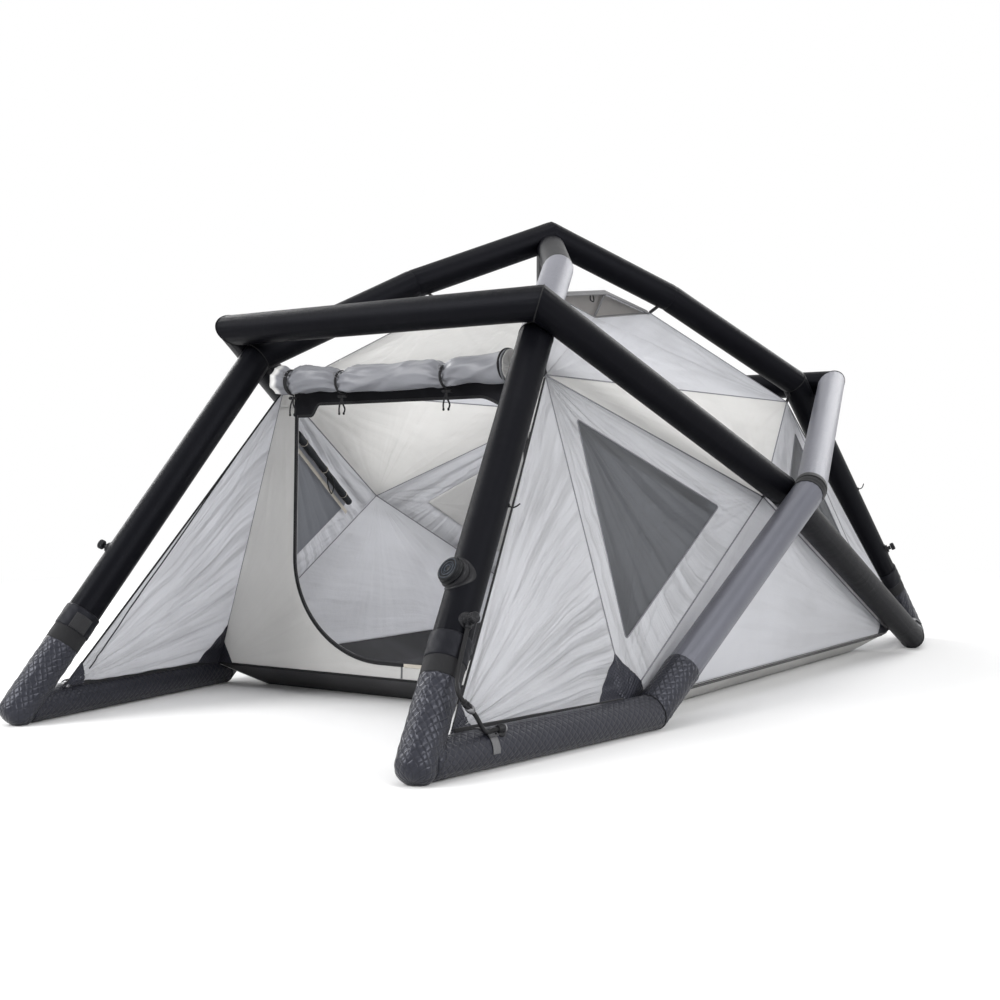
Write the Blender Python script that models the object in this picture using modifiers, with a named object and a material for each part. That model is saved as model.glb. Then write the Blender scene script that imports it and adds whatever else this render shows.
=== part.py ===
"""Inflatable two-person tent: a geodesic frame of air tubes that cross one over the other, with a
sewn inner tent hung inside it. X is across the tent, the door faces -Y, and the ground is Z = 0."""
import math

import bmesh
import bpy
from mathutils import Matrix, Vector
from mathutils.geometry import interpolate_bezier

# Frame: all heights and reaches are to the tubes' axes
overall_height = 1.220
tube_radius = 0.0375
ground_flat_depth = 0.0005
front_foot_half_width = 0.549
front_foot_reach = 1.300
front_mid_foot_half_width = 0.637
front_mid_foot_reach = 0.615
rear_foot_half_width = 0.545
rear_foot_reach = 1.300
rear_mid_foot_half_width = 0.634
rear_mid_foot_reach = 1.051
front_shoulder_half_width = 0.409
front_shoulder_reach = 0.701
front_shoulder_height = 0.830
front_brow_half_width = 0.4445
front_brow_reach = 0.743
front_brow_height = 0.8955
rear_shoulder_half_width = 0.409
rear_shoulder_reach = 0.684
rear_shoulder_height = 0.804
rear_brow_half_width = 0.485
rear_brow_reach = 0.782
rear_brow_height = 0.802
front_bend_half_width = 0.223
front_bend_reach = 0.316
front_bend_height = 1.035
rear_bend_half_width = 0.199
rear_bend_reach = 0.303
rear_bend_height = 1.030
side_crossing_half_width = 0.664
side_crossing_height = 0.4975
apex_crossing_drop = 0.030

# Sleeves: reinforced cloth at the feet, and the band that closes it on each leg
foot_sleeve_length = 0.165
foot_sleeve_thickness = 0.0015
cuff_length = 0.085
cuff_thickness = 0.004
elbow_sleeve_length = 0.140
step_length = 0.002
dome_steps = 5
dome_roundness = 2.6

# Clearances
seam_gap = 0.0003
saddle_gap = 0.0006
weld_distance = 0.00003
trim_distance = 0.000003
cut_overrun = 0.200

# Inner tent: its corners hang inside the frame
cloth_thickness = 0.002
corner_cut = 0.005
front_corner_half_width = 0.387
front_corner_reach = 0.632
front_corner_height = 0.754
rear_corner_half_width = 0.400
rear_corner_reach = 0.650
rear_corner_height = 0.745
side_peak_half_width = 0.615
side_peak_height = 0.479
ridge_bend_half_width = 0.165
ridge_bend_reach = 0.250
ridge_bend_height = 0.985
ridge_height = 1.040
front_wall_foot_reach = 0.655
front_wall_foot_inset = 0.032
rear_wall_foot_half_width = 0.600
rear_wall_foot_reach = 0.930
rear_wall_foot_height = 0.060
wing_foot_setback = 0.110
wing_foot_inset = 0.024
wing_edge_sag = 0.020
wing_edge_steps = 6
tray_border = 0.090

# Windows: corners as shares of the panel's shoulder, wall foot and side peak
window_corner_shares = ((0.80, 0.10, 0.10), (0.14, 0.14, 0.72), (0.14, 0.79, 0.07))
window_corner_radius = 0.012
window_corner_steps = 4
window_cut_depth = 0.008
pane_thickness = 0.001

# Door: a U-shaped opening, measured up the slope of the front wall
door_half_width = 0.335
door_sill_height = 0.042
door_head_height = 0.628
door_corner_width = 0.270
door_corner_height = 0.240
door_corner_steps = 10

# Zip and header on the front wall
zip_offset = 0.003
zip_width = 0.010
zip_thickness = 0.002
slider_width = 0.013
slider_length = 0.020
slider_thickness = 0.004
slider_height = 0.606
pull_width = 0.007
pull_length = 0.032
pull_thickness = 0.002
header_height = 0.040
header_thickness = 0.003
header_half_width = 0.345

# Rolled door, tied up above the opening
roll_left_end = -0.365
roll_right_end = 0.325
roll_radius = 0.043
roll_rise_share = 0.46
roll_tie_depth = 0.008
roll_tie_reach = 0.022
roll_swell = 0.001
roll_end_shares = ((0.000, 0.42), (0.012, 0.80), (0.030, 0.97))
roll_stations = 26
tie_places = (-0.318, -0.160, 0.150)
tie_width = 0.006
tie_thickness = 0.002
tie_steps = 24
toggle_radius = 0.004
toggle_length = 0.026
toggle_drop = 0.006

# Inflation valve on the front right leg
valve_place = 0.372
valve_facing = (-0.08, -1, 0)
valve_flange_radius = 0.031
valve_flange_taper_share = 0.93
valve_sunk_share = 0.5
valve_flange_height = 0.005
valve_neck_radius = 0.021
valve_neck_height = 0.012
valve_cap_radius = 0.0262
valve_cap_top_share = 0.9
valve_cap_wall = 0.003
valve_rim_radius = 0.0285
valve_rim_height = 0.006
valve_steps = 32

# Small valves: one for each of the other chambers
small_valve_place = 0.279
small_valve_facing = (0.887, -0.457, 0)
left_valve_place = 0.408
left_valve_facing = (-0.82, -0.57, 0)
rear_valve_place = 0.318
rear_valve_facing = (0.82, 0.57, 0)
small_valve_base_radius = 0.012
small_valve_base_height = 0.006
small_valve_neck_radius = 0.006
small_valve_neck_height = 0.008
small_valve_knob_radius = 0.011
small_valve_knob_height = 0.013
small_valve_knob_bevel = 0.003
small_valve_sunk_share = 0.85
small_valve_steps = 20

# Hose that links two chambers at the front right foot
hose_radius = 0.0042
fitting_radius = 0.0075
fitting_length = 0.022
hose_leg_end = 0.115
hose_cuff_bow = 0.008
hose_leg_bow = 0.030
hose_turn_share = 0.55
hose_ground_place = 0.190
hose_steps = 7
hose_sides_resolution = 2
fitting_sides_resolution = 6
fitting_base_radius = 0.009
fitting_base_taper_share = 0.8
fitting_sunk_share = 0.8
fitting_lean = math.radians(35)

# Vent on the right of the roof: its lip sags and a prop lifts the hood above it
vent_lip_half_width = 0.137
vent_lip_height = 0.953
vent_hood_half_width = 0.172
vent_hood_height = 1.016
vent_corner_cut = 0.012
vent_mesh_setback = 0.010
vent_mesh_inset = 0.012
vent_mesh_margin_share = 0.04
prop_width = 0.012
prop_thickness = 0.002

tube_resolution = 10
SIDES = ((1, "right"), (-1, "left"))
UP = Vector((0, 0, 1))


for item in list(bpy.data.objects):
    bpy.data.objects.remove(item, do_unlink=True)


def new_collection(name):
    collection = bpy.data.collections.new(name)
    bpy.context.scene.collection.children.link(collection)
    return collection


part_collection = new_collection("inflatable_tent")
cutter_collection = new_collection("cutters")


def material(name, colour, roughness, metallic=0.0):
    made = bpy.data.materials.get(name)
    if made is None:
        made = bpy.data.materials.new(name)
        made.use_nodes = True
        shader = made.node_tree.nodes["Principled BSDF"]
        shader.inputs["Base Color"].default_value = (*colour, 1.0)
        shader.inputs["Roughness"].default_value = roughness
        shader.inputs["Metallic"].default_value = metallic
    return made


FINISHES = {
    "sleeve_black": ((0.012, 0.012, 0.015), 0.55, 0.0),
    "sleeve_grey": ((0.16, 0.16, 0.19), 0.45, 0.0),
    "sleeve_quilted": ((0.035, 0.036, 0.046), 0.60, 0.0),
    "cloth_silver": ((0.56, 0.56, 0.60), 0.60, 0.0),
    "floor_black": ((0.015, 0.015, 0.017), 0.60, 0.0),
    "mesh_grey": ((0.10, 0.10, 0.11), 0.70, 0.0),
    "webbing": ((0.04, 0.04, 0.045), 0.70, 0.0),
    "valve_black": ((0.010, 0.011, 0.014), 0.30, 0.0),
    "valve_blue_black": ((0.014, 0.020, 0.034), 0.25, 0.0),
    "fitting_metal": ((0.60, 0.61, 0.63), 0.30, 0.9),
}


def link(name, mesh, finish, origin=None, rotation=None):
    """A named object whose mesh, given in world coordinates, is moved to its own origin and axes."""
    placed = Matrix.Translation(origin or Vector())
    if rotation is not None:
        placed = placed @ rotation.to_4x4()
    mesh.transform(placed.inverted())
    mesh.materials.clear()
    mesh.materials.append(material(finish, *FINISHES[finish]))
    made = bpy.data.objects.new(name, mesh)
    made.matrix_world = placed
    part_collection.objects.link(made)
    return made


def evaluated_mesh(source):
    """The mesh that an object's curve or modifiers give, in world coordinates, and the object removed."""
    bpy.context.view_layer.update()
    shown = source.evaluated_get(bpy.context.evaluated_depsgraph_get())
    mesh = bpy.data.meshes.new_from_object(shown)
    mesh.transform(source.matrix_world)
    bpy.data.objects.remove(source, do_unlink=True)
    bm = bmesh.new()
    bm.from_mesh(mesh)
    bmesh.ops.remove_doubles(bm, verts=bm.verts, dist=weld_distance)
    bmesh.ops.recalc_face_normals(bm, faces=bm.faces)
    bm.to_mesh(mesh)
    bm.free()
    return mesh


def shaded_smooth(made):
    made.data.polygons.foreach_set("use_smooth", [True] * len(made.data.polygons))
    return made


def tube_mesh(points, radii, resolution=tube_resolution):
    """A tube along straight stretches, with closed ends and a radius at each point."""
    curve = bpy.data.curves.new("route", "CURVE")
    curve.dimensions = "3D"
    curve.bevel_depth = 1.0
    curve.bevel_resolution = resolution
    curve.use_fill_caps = True
    spline = curve.splines.new("POLY")
    spline.points.add(len(points) - 1)
    for place, point, radius in zip(spline.points, points, radii):
        place.co = (*point, 1.0)
        place.radius = radius
    route = bpy.data.objects.new("route", curve)
    bpy.context.scene.collection.objects.link(route)
    return evaluated_mesh(route)


def plate_mesh(outline, normal, thickness, middle=0.0):
    """A flat plate with this outline, its mid-plane moved by middle along the normal."""
    centre = sum(outline, Vector()) / len(outline)
    across = (outline[1] - outline[0]).normalized()
    axes = Matrix((across, normal.cross(across), normal)).transposed()
    curve = bpy.data.curves.new("outline", "CURVE")
    curve.dimensions = "2D"
    curve.fill_mode = "BOTH"
    curve.extrude = thickness / 2
    spline = curve.splines.new("POLY")
    spline.use_cyclic_u = True
    spline.points.add(len(outline) - 1)
    for place, point in zip(spline.points, outline):
        local = axes.transposed() @ (point - centre)
        place.co = (local.x, local.y, 0.0, 1.0)
    plate = bpy.data.objects.new("outline", curve)
    bpy.context.scene.collection.objects.link(plate)
    plate.matrix_world = Matrix.Translation(centre + normal * middle) @ axes.to_4x4()
    return evaluated_mesh(plate)


def turned_mesh(profile, origin, axis, steps=24):
    """A turned solid: (radius, height) points from the top down, spun about an axis at the origin."""
    mesh = bpy.data.meshes.new("profile")
    points = [(radius, 0, height) for radius, height in profile]
    mesh.from_pydata(points, [(i, i + 1) for i in range(len(points) - 1)], [])
    spun = bpy.data.objects.new("profile", mesh)
    part_collection.objects.link(spun)
    screw = spun.modifiers.new("Screw", "SCREW")
    screw.steps = steps
    screw.render_steps = steps
    screw.use_merge_vertices = True
    screw.merge_threshold = weld_distance
    spun.matrix_world = Matrix.Translation(origin) @ axis.to_track_quat("Z", "Y").to_matrix().to_4x4()
    return evaluated_mesh(spun)


def solid_cutter(name, mesh):
    cutter = bpy.data.objects.new(f"cut_{name}", mesh)
    cutter_collection.objects.link(cutter)
    cutter.hide_render = True
    cutter.display_type = "WIRE"
    return cutter


def cut_away(mesh, cutters, operation="DIFFERENCE"):
    """The mesh after a Boolean with each cutter in turn."""
    work = bpy.data.objects.new("work", mesh)
    part_collection.objects.link(work)
    for cutter in cutters:
        cut = work.modifiers.new("Cut", "BOOLEAN")
        cut.operation = operation
        cut.solver = "EXACT"
        cut.object = cutter
    return evaluated_mesh(work)


def trim(mesh, point, normal):
    """Cut off what lies beyond a plane, on its normal's side, and cap the cut."""
    bm = bmesh.new()
    bm.from_mesh(mesh)
    whole = bm.verts[:] + bm.edges[:] + bm.faces[:]
    cut = bmesh.ops.bisect_plane(
        bm, geom=whole, dist=trim_distance, plane_co=point, plane_no=normal, clear_outer=True
    )
    rim = [item for item in cut["geom_cut"] if isinstance(item, bmesh.types.BMEdge)]
    bmesh.ops.edgeloop_fill(bm, edges=rim)
    bmesh.ops.recalc_face_normals(bm, faces=bm.faces)
    bm.to_mesh(mesh)
    bm.free()
    return mesh


def frame_points():
    """The nodes of the frame: where the axes of its tubes bend or cross."""
    foot_height = tube_radius - ground_flat_depth
    side_outer = side_crossing_half_width + 2 * tube_radius + seam_gap
    half = {
        "front_foot": (front_foot_half_width, -front_foot_reach, foot_height),
        "front_mid": (front_mid_foot_half_width, -front_mid_foot_reach, foot_height),
        "rear_foot": (rear_foot_half_width, rear_foot_reach, foot_height),
        "rear_mid": (rear_mid_foot_half_width, rear_mid_foot_reach, foot_height),
        "front_shoulder": (front_shoulder_half_width, -front_shoulder_reach, front_shoulder_height),
        "front_brow": (front_brow_half_width, -front_brow_reach, front_brow_height),
        "rear_shoulder": (rear_shoulder_half_width, rear_shoulder_reach, rear_shoulder_height),
        "rear_brow": (rear_brow_half_width, rear_brow_reach, rear_brow_height),
        "front_bend": (front_bend_half_width, -front_bend_reach, front_bend_height),
        "rear_bend": (rear_bend_half_width, rear_bend_reach, rear_bend_height),
        "side_inner": (side_crossing_half_width, 0, side_crossing_height),
        "side_outer": (side_outer, 0, side_crossing_height),
    }
    run = math.hypot(front_bend_half_width, front_bend_reach)
    slope = math.atan2(overall_height - tube_radius - front_bend_height, run)
    top = overall_height - tube_radius / math.cos(slope)
    points = {"apex": Vector((0, 0, top)), "under_apex": Vector((0, 0, top - apex_crossing_drop))}
    for side, mark in SIDES:
        for name, (x, y, z) in half.items():
            points[f"{name}_{mark}"] = Vector((side * x, y, z))
    return points


def mitre(before, corner, after):
    """The plane that halves a bend: a point, and a normal that points on along the route."""
    onward = (corner - before).normalized() + (after - corner).normalized()
    return corner, onward.normalized()


def sleeve(name, route, finish, start=None, end=None, cutters=(), radii=None, on_ground=False):
    """One stretch of tube, mitred to its neighbours at the planes start and end."""
    points = [point.copy() for point in route]
    radii = list(radii or [tube_radius] * len(points))
    if start:
        points[0] += (points[0] - points[1]).normalized() * cut_overrun
    if end:
        points[-1] += (points[-1] - points[-2]).normalized() * cut_overrun
    mesh = tube_mesh(points, radii)
    if start:
        place, onward = start
        mesh = trim(mesh, place + onward * seam_gap / 2, -onward)
    if end:
        place, onward = end
        mesh = trim(mesh, place - onward * seam_gap / 2, onward)
    if cutters:
        mesh = cut_away(mesh, cutters)
    if on_ground:
        mesh = trim(mesh, Vector(), -UP)
    along = (route[1] - route[0]).to_track_quat("Z", "Y").to_matrix()
    return shaded_smooth(link(name, mesh, finish, route[0], along))


def tube_cutter(name, points, radii=None, extra=0.0):
    radii = [radius + saddle_gap + extra for radius in radii or [tube_radius] * len(points)]
    return solid_cutter(name, tube_mesh(points, radii))


def straight_cutter(name, start, end):
    overrun = (end - start).normalized() * tube_radius
    return tube_cutter(name, [start - overrun, end + overrun])


def leg_route(foot, shoulder):
    """A leg from its domed foot up: points and radii, with the foot sleeve and the cuff as steps."""
    up = (shoulder - foot).normalized()
    sleeve_radius = tube_radius + foot_sleeve_thickness
    cuff_radius = tube_radius + cuff_thickness
    points = []
    radii = []
    for step in range(dome_steps, 0, -1):
        share = math.sin(step / dome_steps * math.pi / 2) * (1 - 1e-3)
        points.append(foot - up * sleeve_radius * share)
        radii.append(sleeve_radius * (1 - share**dome_roundness) ** (1 / dome_roundness))
    stations = (
        (0, sleeve_radius),
        (foot_sleeve_length, sleeve_radius),
        (foot_sleeve_length + step_length, cuff_radius),
        (foot_sleeve_length + cuff_length, cuff_radius),
        (foot_sleeve_length + cuff_length + step_length, tube_radius),
        ((shoulder - foot).length, tube_radius),
    )
    for distance, radius in stations:
        points.append(foot + up * distance)
        radii.append(radius)
    return points, radii


def build_legs(at, cutters):
    for end in ("front", "rear"):
        for _, mark in SIDES:
            foot = at[f"{end}_foot_{mark}"]
            shoulder = at[f"{end}_shoulder_{mark}"]
            points, radii = leg_route(foot, shoulder)
            top = mitre(foot, shoulder, at[f"{end}_bend_{mark}"])
            sleeve(f"leg_{end}_{mark}", points, "sleeve_black", end=top,
                   cutters=cutters[end, mark], radii=radii, on_ground=True)


def build_arches(at, cutters):
    """Two arches cross at the apex: the one from front right to rear left is pressed down there."""
    for end in ("front", "rear"):
        for _, mark in SIDES:
            upper = (end, mark) in (("front", "left"), ("rear", "right"))
            shoulder = at[f"{end}_shoulder_{mark}"]
            bend = at[f"{end}_bend_{mark}"]
            foot = at[f"{end}_foot_{mark}"]
            start = mitre(foot, shoulder, bend)
            other_end = "rear" if end == "front" else "front"
            other_mark = "left" if mark == "right" else "right"
            apex = at["apex"] if upper else at["under_apex"]
            top = mitre(bend, apex, at[f"{other_end}_bend_{other_mark}"])
            crossing = () if upper else cutters["apex"]
            sleeve(f"arch_{end}_{mark}", [shoulder, bend, apex], "sleeve_black", start=start,
                   end=top, cutters=(*cutters[end, mark], *crossing))


def build_loops(at, cutters):
    """Each loop runs from a mid foot up a side, across the brow and down the other side."""
    for _, mark in SIDES:
        front_brow, rear_brow = at[f"front_brow_{mark}"], at[f"rear_brow_{mark}"]
        inner, outer = at[f"side_inner_{mark}"], at[f"side_outer_{mark}"]
        front_mid, rear_mid = at[f"front_mid_{mark}"], at[f"rear_mid_{mark}"]
        other = "left" if mark == "right" else "right"
        sleeve(f"side_upper_{mark}", [front_brow, inner], "sleeve_black",
               start=mitre(at[f"front_brow_{other}"], front_brow, inner),
               end=mitre(front_brow, inner, rear_mid), cutters=cutters["side", mark])
        sleeve(f"side_lower_{mark}", [inner, rear_mid], "sleeve_black",
               start=mitre(front_brow, inner, rear_mid),
               end=mitre(inner, rear_mid, at[f"rear_foot_{mark}"]),
               cutters=cutters["side", mark], on_ground=True)
        climb = (outer - front_mid).normalized()
        elbow = [front_mid, front_mid + climb * elbow_sleeve_length,
                 front_mid + climb * (elbow_sleeve_length + step_length), outer]
        thick = tube_radius + foot_sleeve_thickness
        sleeve(f"hoop_lower_{mark}", elbow, "sleeve_grey",
               start=mitre(at[f"front_foot_{mark}"], front_mid, outer),
               end=mitre(front_mid, outer, rear_brow), radii=(thick, thick, tube_radius, tube_radius),
               on_ground=True)
        sleeve(f"hoop_upper_{mark}", [outer, rear_brow], "sleeve_grey",
               start=mitre(front_mid, outer, rear_brow),
               end=mitre(outer, rear_brow, at[f"rear_brow_{other}"]))
    for end, inward in (("front", "side_inner"), ("rear", "side_outer")):
        left, right = at[f"{end}_brow_left"], at[f"{end}_brow_right"]
        sleeve(f"brow_{end}", [left, right], "sleeve_black",
               start=mitre(at[f"{inward}_left"], left, right),
               end=mitre(left, right, at[f"{inward}_right"]))


def build_ground_tubes(at, cutters):
    for end, onward in (("front", "side_outer"), ("rear", "side_inner")):
        for _, mark in SIDES:
            foot, mid = at[f"{end}_foot_{mark}"], at[f"{end}_mid_{mark}"]
            sleeve(f"ground_{end}_{mark}", [foot, mid], "sleeve_quilted",
                   end=mitre(foot, mid, at[f"{onward}_{mark}"]), cutters=cutters["foot", end, mark],
                   on_ground=True)


def frame_cutters(at):
    """Where tubes press on each other, the inner one is saddled to the outer one."""
    cutters = {}
    brow = {end: straight_cutter(f"brow_{end}", at[f"{end}_brow_left"], at[f"{end}_brow_right"])
            for end in ("front", "rear")}
    for _, mark in SIDES:
        inner, outer = at[f"side_inner_{mark}"], at[f"side_outer_{mark}"]
        front = straight_cutter(f"side_upper_{mark}", at[f"front_brow_{mark}"], inner)
        low = straight_cutter(f"hoop_lower_{mark}", at[f"front_mid_{mark}"], outer)
        high = straight_cutter(f"hoop_upper_{mark}", outer, at[f"rear_brow_{mark}"])
        cutters["front", mark] = (brow["front"], front)
        cutters["rear", mark] = (brow["rear"], high)
        cutters["side", mark] = (low, high)
        for end in ("front", "rear"):
            points, radii = leg_route(at[f"{end}_foot_{mark}"], at[f"{end}_shoulder_{mark}"])
            cutters["foot", end, mark] = (tube_cutter(f"foot_{end}_{mark}", points, radii),)
    cutters["apex"] = (straight_cutter("apex_front", at["front_bend_left"], at["apex"]),
                       straight_cutter("apex_rear", at["apex"], at["rear_bend_right"]))
    return cutters


def on_ground_tube(start, end, setback, inset):
    """A point just clear of a ground tube, setback along its reach and inset from its top line."""
    share = setback / abs(end.y - start.y)
    axis = start.lerp(end, share)
    seat = tube_radius + saddle_gap + cloth_thickness / 2
    inward = -inset if axis.x > 0 else inset
    return axis + Vector((inward, 0, math.sqrt(seat**2 - inset**2)))


def tent_corners(at):
    """The corners of the sewn inner tent."""
    corners = {
        "ridge": Vector((0, 0, ridge_height)),
        "vent_lip": Vector((vent_lip_half_width, 0, vent_lip_height)),
        "vent_hood": Vector((vent_hood_half_width, 0, vent_hood_height)),
    }
    for side, mark in SIDES:
        front_foot, front_mid = at[f"front_foot_{mark}"], at[f"front_mid_{mark}"]
        rear_foot, rear_mid = at[f"rear_foot_{mark}"], at[f"rear_mid_{mark}"]
        wall_setback = front_foot_reach - front_wall_foot_reach
        places = {
            "shoulder_front": Vector((side * front_corner_half_width, -front_corner_reach,
                                      front_corner_height)),
            "shoulder_rear": Vector((side * rear_corner_half_width, rear_corner_reach,
                                     rear_corner_height)),
            "peak": Vector((side * side_peak_half_width, 0, side_peak_height)),
            "bend_front": Vector((side * ridge_bend_half_width, -ridge_bend_reach,
                                  ridge_bend_height)),
            "bend_rear": Vector((side * ridge_bend_half_width, ridge_bend_reach,
                                 ridge_bend_height)),
            "foot_front": on_ground_tube(front_foot, front_mid, wall_setback,
                                         front_wall_foot_inset),
            "foot_rear": Vector((side * rear_wall_foot_half_width, rear_wall_foot_reach,
                                 rear_wall_foot_height)),
            "wing_front": on_ground_tube(front_foot, front_mid, wing_foot_setback,
                                         wing_foot_inset),
            "wing_rear": on_ground_tube(rear_foot, rear_mid, wing_foot_setback, wing_foot_inset),
        }
        for end in ("front", "rear"):
            wall_foot = places[f"foot_{end}"]
            inward = Vector((-side, -1 if end == "rear" else 1, 0)) * tray_border
            places[f"tray_{end}"] = wall_foot + inward
            places[f"tray_{end}"].z = cloth_thickness / 2
            top, foot = places[f"shoulder_{end}"], places[f"wing_{end}"]
            hollow = (wall_foot - foot).cross(top - foot).cross(top - foot).normalized()
            if hollow.dot(wall_foot - foot) < 0:
                hollow.negate()
            for step in range(1, wing_edge_steps):
                share = step / wing_edge_steps
                sag = 4 * wing_edge_sag * share * (1 - share)
                places[f"sag_{end}_{step}"] = top.lerp(foot, share) + hollow * sag
        for name, place in places.items():
            corners[f"{name}_{mark}"] = place
    return corners


def panel_facets():
    """Each cloth panel as its flat facets, named by their corners."""
    panels = {
        "wall_front": [("shoulder_front_right", "shoulder_front_left", "foot_front_left",
                        "foot_front_right")],
        "wall_rear": [("shoulder_rear_left", "shoulder_rear_right", "foot_rear_right",
                       "foot_rear_left")],
        "roof_front": [("shoulder_front_left", "shoulder_front_right", "bend_front_right",
                        "bend_front_left")],
        "roof_rear": [("shoulder_rear_right", "shoulder_rear_left", "bend_rear_left",
                       "bend_rear_right")],
        "roof_top": [("bend_front_left", "bend_front_right", "ridge"),
                     ("bend_rear_right", "bend_rear_left", "ridge"),
                     ("bend_rear_left", "bend_front_left", "ridge"),
                     ("bend_front_right", "vent_hood", "ridge"),
                     ("vent_hood", "bend_rear_right", "ridge")],
        "roof_right": [("shoulder_front_right", "shoulder_rear_right", "vent_lip"),
                       ("shoulder_front_right", "vent_lip", "bend_front_right"),
                       ("shoulder_rear_right", "vent_lip", "bend_rear_right")],
        "roof_left": [("shoulder_front_left", "shoulder_rear_left", "bend_rear_left"),
                      ("shoulder_front_left", "bend_rear_left", "bend_front_left")],
        "floor_tray": [("tray_front_left", "tray_front_right", "tray_rear_right",
                        "tray_rear_left"),
                       ("foot_front_left", "foot_front_right", "tray_front_right",
                        "tray_front_left"),
                       ("foot_rear_right", "foot_rear_left", "tray_rear_left",
                        "tray_rear_right")],
    }
    for _, mark in SIDES:
        names = {key: f"{key}_{mark}" for key in (
            "shoulder_front", "shoulder_rear", "peak", "bend_front", "bend_rear", "foot_front",
            "foot_rear", "wing_front", "wing_rear", "tray_front", "tray_rear")}
        for end in ("front", "rear"):
            edge = [f"sag_{end}_{step}_{mark}" for step in range(1, wing_edge_steps)]
            top, foot, tip = names[f"shoulder_{end}"], names[f"foot_{end}"], names[f"wing_{end}"]
            panels[f"side_{end}_{mark}"] = [(top, *edge, tip, foot), (top, foot, names["peak"])]
        panels[f"side_rear_{mark}"].append((names["foot_front"], names["foot_rear"], names["peak"]))
        panels[f"side_top_{mark}"] = [(names["shoulder_front"], names["peak"],
                                       names["shoulder_rear"])]
        panels["floor_tray"].append((names["foot_front"], names["foot_rear"],
                                     names["tray_rear"], names["tray_front"]))
    return panels


def facet_edges(facet):
    return [frozenset(pair) for pair in zip(facet, facet[1:] + facet[:1])]


def inward_of(facet, edge, corners):
    """In a facet's plane, the unit direction from an edge into the facet."""
    first, second = sorted(edge)
    along = (corners[second] - corners[first]).normalized()
    far = max((corners[name] for name in facet if name not in edge),
              key=lambda place: (place - corners[first]).cross(along).length)
    away = far - corners[first]
    return (away - along * away.dot(along)).normalized()


def edge_setback(panel, facet, edge, panels, corners):
    """How far a panel stops short of a seam: none on a fold or a free edge of the cloth."""
    others = [(name, other) for name, facets in panels.items() for other in facets
              if edge in facet_edges(other) and not (name == panel and other == facet)]
    if not others or any(name == panel for name, _ in others):
        return 0.0
    angles = [inward_of(facet, edge, corners).angle(inward_of(other, edge, corners))
              for _, other in others]
    if len(others) > 1:
        return max(seam_gap + cloth_thickness / 2 * (1 + abs(math.cos(angle))) / math.sin(angle)
                   for angle in angles)
    return seam_gap / 2 + cloth_thickness / 2 / math.tan(angles[0] / 2)


def facet_outline(panel, facet, panels, corners):
    """A facet's outline, set back from its seams, with its corners cut where panels meet."""
    rim = [edge for other in panels[panel] for edge in facet_edges(other)]
    on_rim = {name for edge in rim if rim.count(edge) == 1 for name in edge}
    edges = facet_edges(facet)
    outline = []
    for index, name in enumerate(facet):
        if name.startswith(("sag", "vent")) or name not in on_rim:
            outline.append(corners[name])
            continue
        for edge in (edges[index - 1], edges[index]):
            (other,) = edge - {name}
            along = (corners[other] - corners[name]).normalized()
            setback = edge_setback(panel, facet, edge, panels, corners)
            cut = vent_corner_cut if other.startswith("vent") else corner_cut
            outline.append(corners[name] + along * cut + inward_of(facet, edge, corners) * setback)
    return outline


def sheet_mesh(outlines, thickness):
    """Flat outlines joined where they meet and made solid, half the thickness to each side."""
    bm = bmesh.new()
    for outline in outlines:
        verts = [bm.verts.new(point) for point in outline]
        rim = [bm.edges.new(pair) for pair in zip(verts, verts[1:] + verts[:1])]
        bmesh.ops.edgeloop_fill(bm, edges=rim)
    bmesh.ops.remove_doubles(bm, verts=bm.verts, dist=weld_distance)
    bmesh.ops.recalc_face_normals(bm, faces=bm.faces)
    mesh = bpy.data.meshes.new("sheet")
    bm.to_mesh(mesh)
    bm.free()
    sheet = bpy.data.objects.new("sheet", mesh)
    part_collection.objects.link(sheet)
    solid = sheet.modifiers.new("Solidify", "SOLIDIFY")
    solid.thickness = thickness
    solid.offset = 0
    solid.use_even_offset = True
    return evaluated_mesh(sheet)


def panel_mesh(panel, panels, corners):
    outlines = [facet_outline(panel, facet, panels, corners) for facet in panels[panel]]
    return sheet_mesh(outlines, cloth_thickness)


def plane_of(facet, corners):
    """A facet's first corner and its unit normal, which points out of the tent."""
    first, second, third = (corners[name] for name in facet[:3])
    normal = (second - first).cross(third - first).normalized()
    middle = Vector((0, 0, side_peak_height))
    return first, normal if normal.dot(first - middle) > 0 else -normal


def set_in(points, distance):
    """A triangle's corners, moved in so that each side is this far inside the old one."""
    moved = []
    for index, point in enumerate(points):
        back = (points[index - 1] - point).normalized()
        on = (points[(index + 1) % len(points)] - point).normalized()
        half = back.angle(on) / 2
        moved.append(point + (back + on).normalized() * distance / math.sin(half))
    return moved


def rounded(points, radius, steps):
    """A closed outline with its corners rounded to a radius."""
    outline = []
    for index, point in enumerate(points):
        back = (points[index - 1] - point).normalized()
        on = (points[(index + 1) % len(points)] - point).normalized()
        half = back.angle(on) / 2
        centre = point + (back + on).normalized() * radius / math.sin(half)
        first = (point + back * radius / math.tan(half) - centre).normalized()
        last = (point + on * radius / math.tan(half) - centre).normalized()
        for step in range(steps + 1):
            outline.append(centre + first.slerp(last, step / steps) * radius)
    return outline


def window_outline(end, mark, corners, margin):
    top, foot, peak = (corners[f"{name}_{mark}"]
                       for name in (f"shoulder_{end}", f"foot_{end}", "peak"))
    points = [top * a + foot * b + peak * c for a, b, c in window_corner_shares]
    return rounded(set_in(points, margin), window_corner_radius, window_corner_steps)


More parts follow.
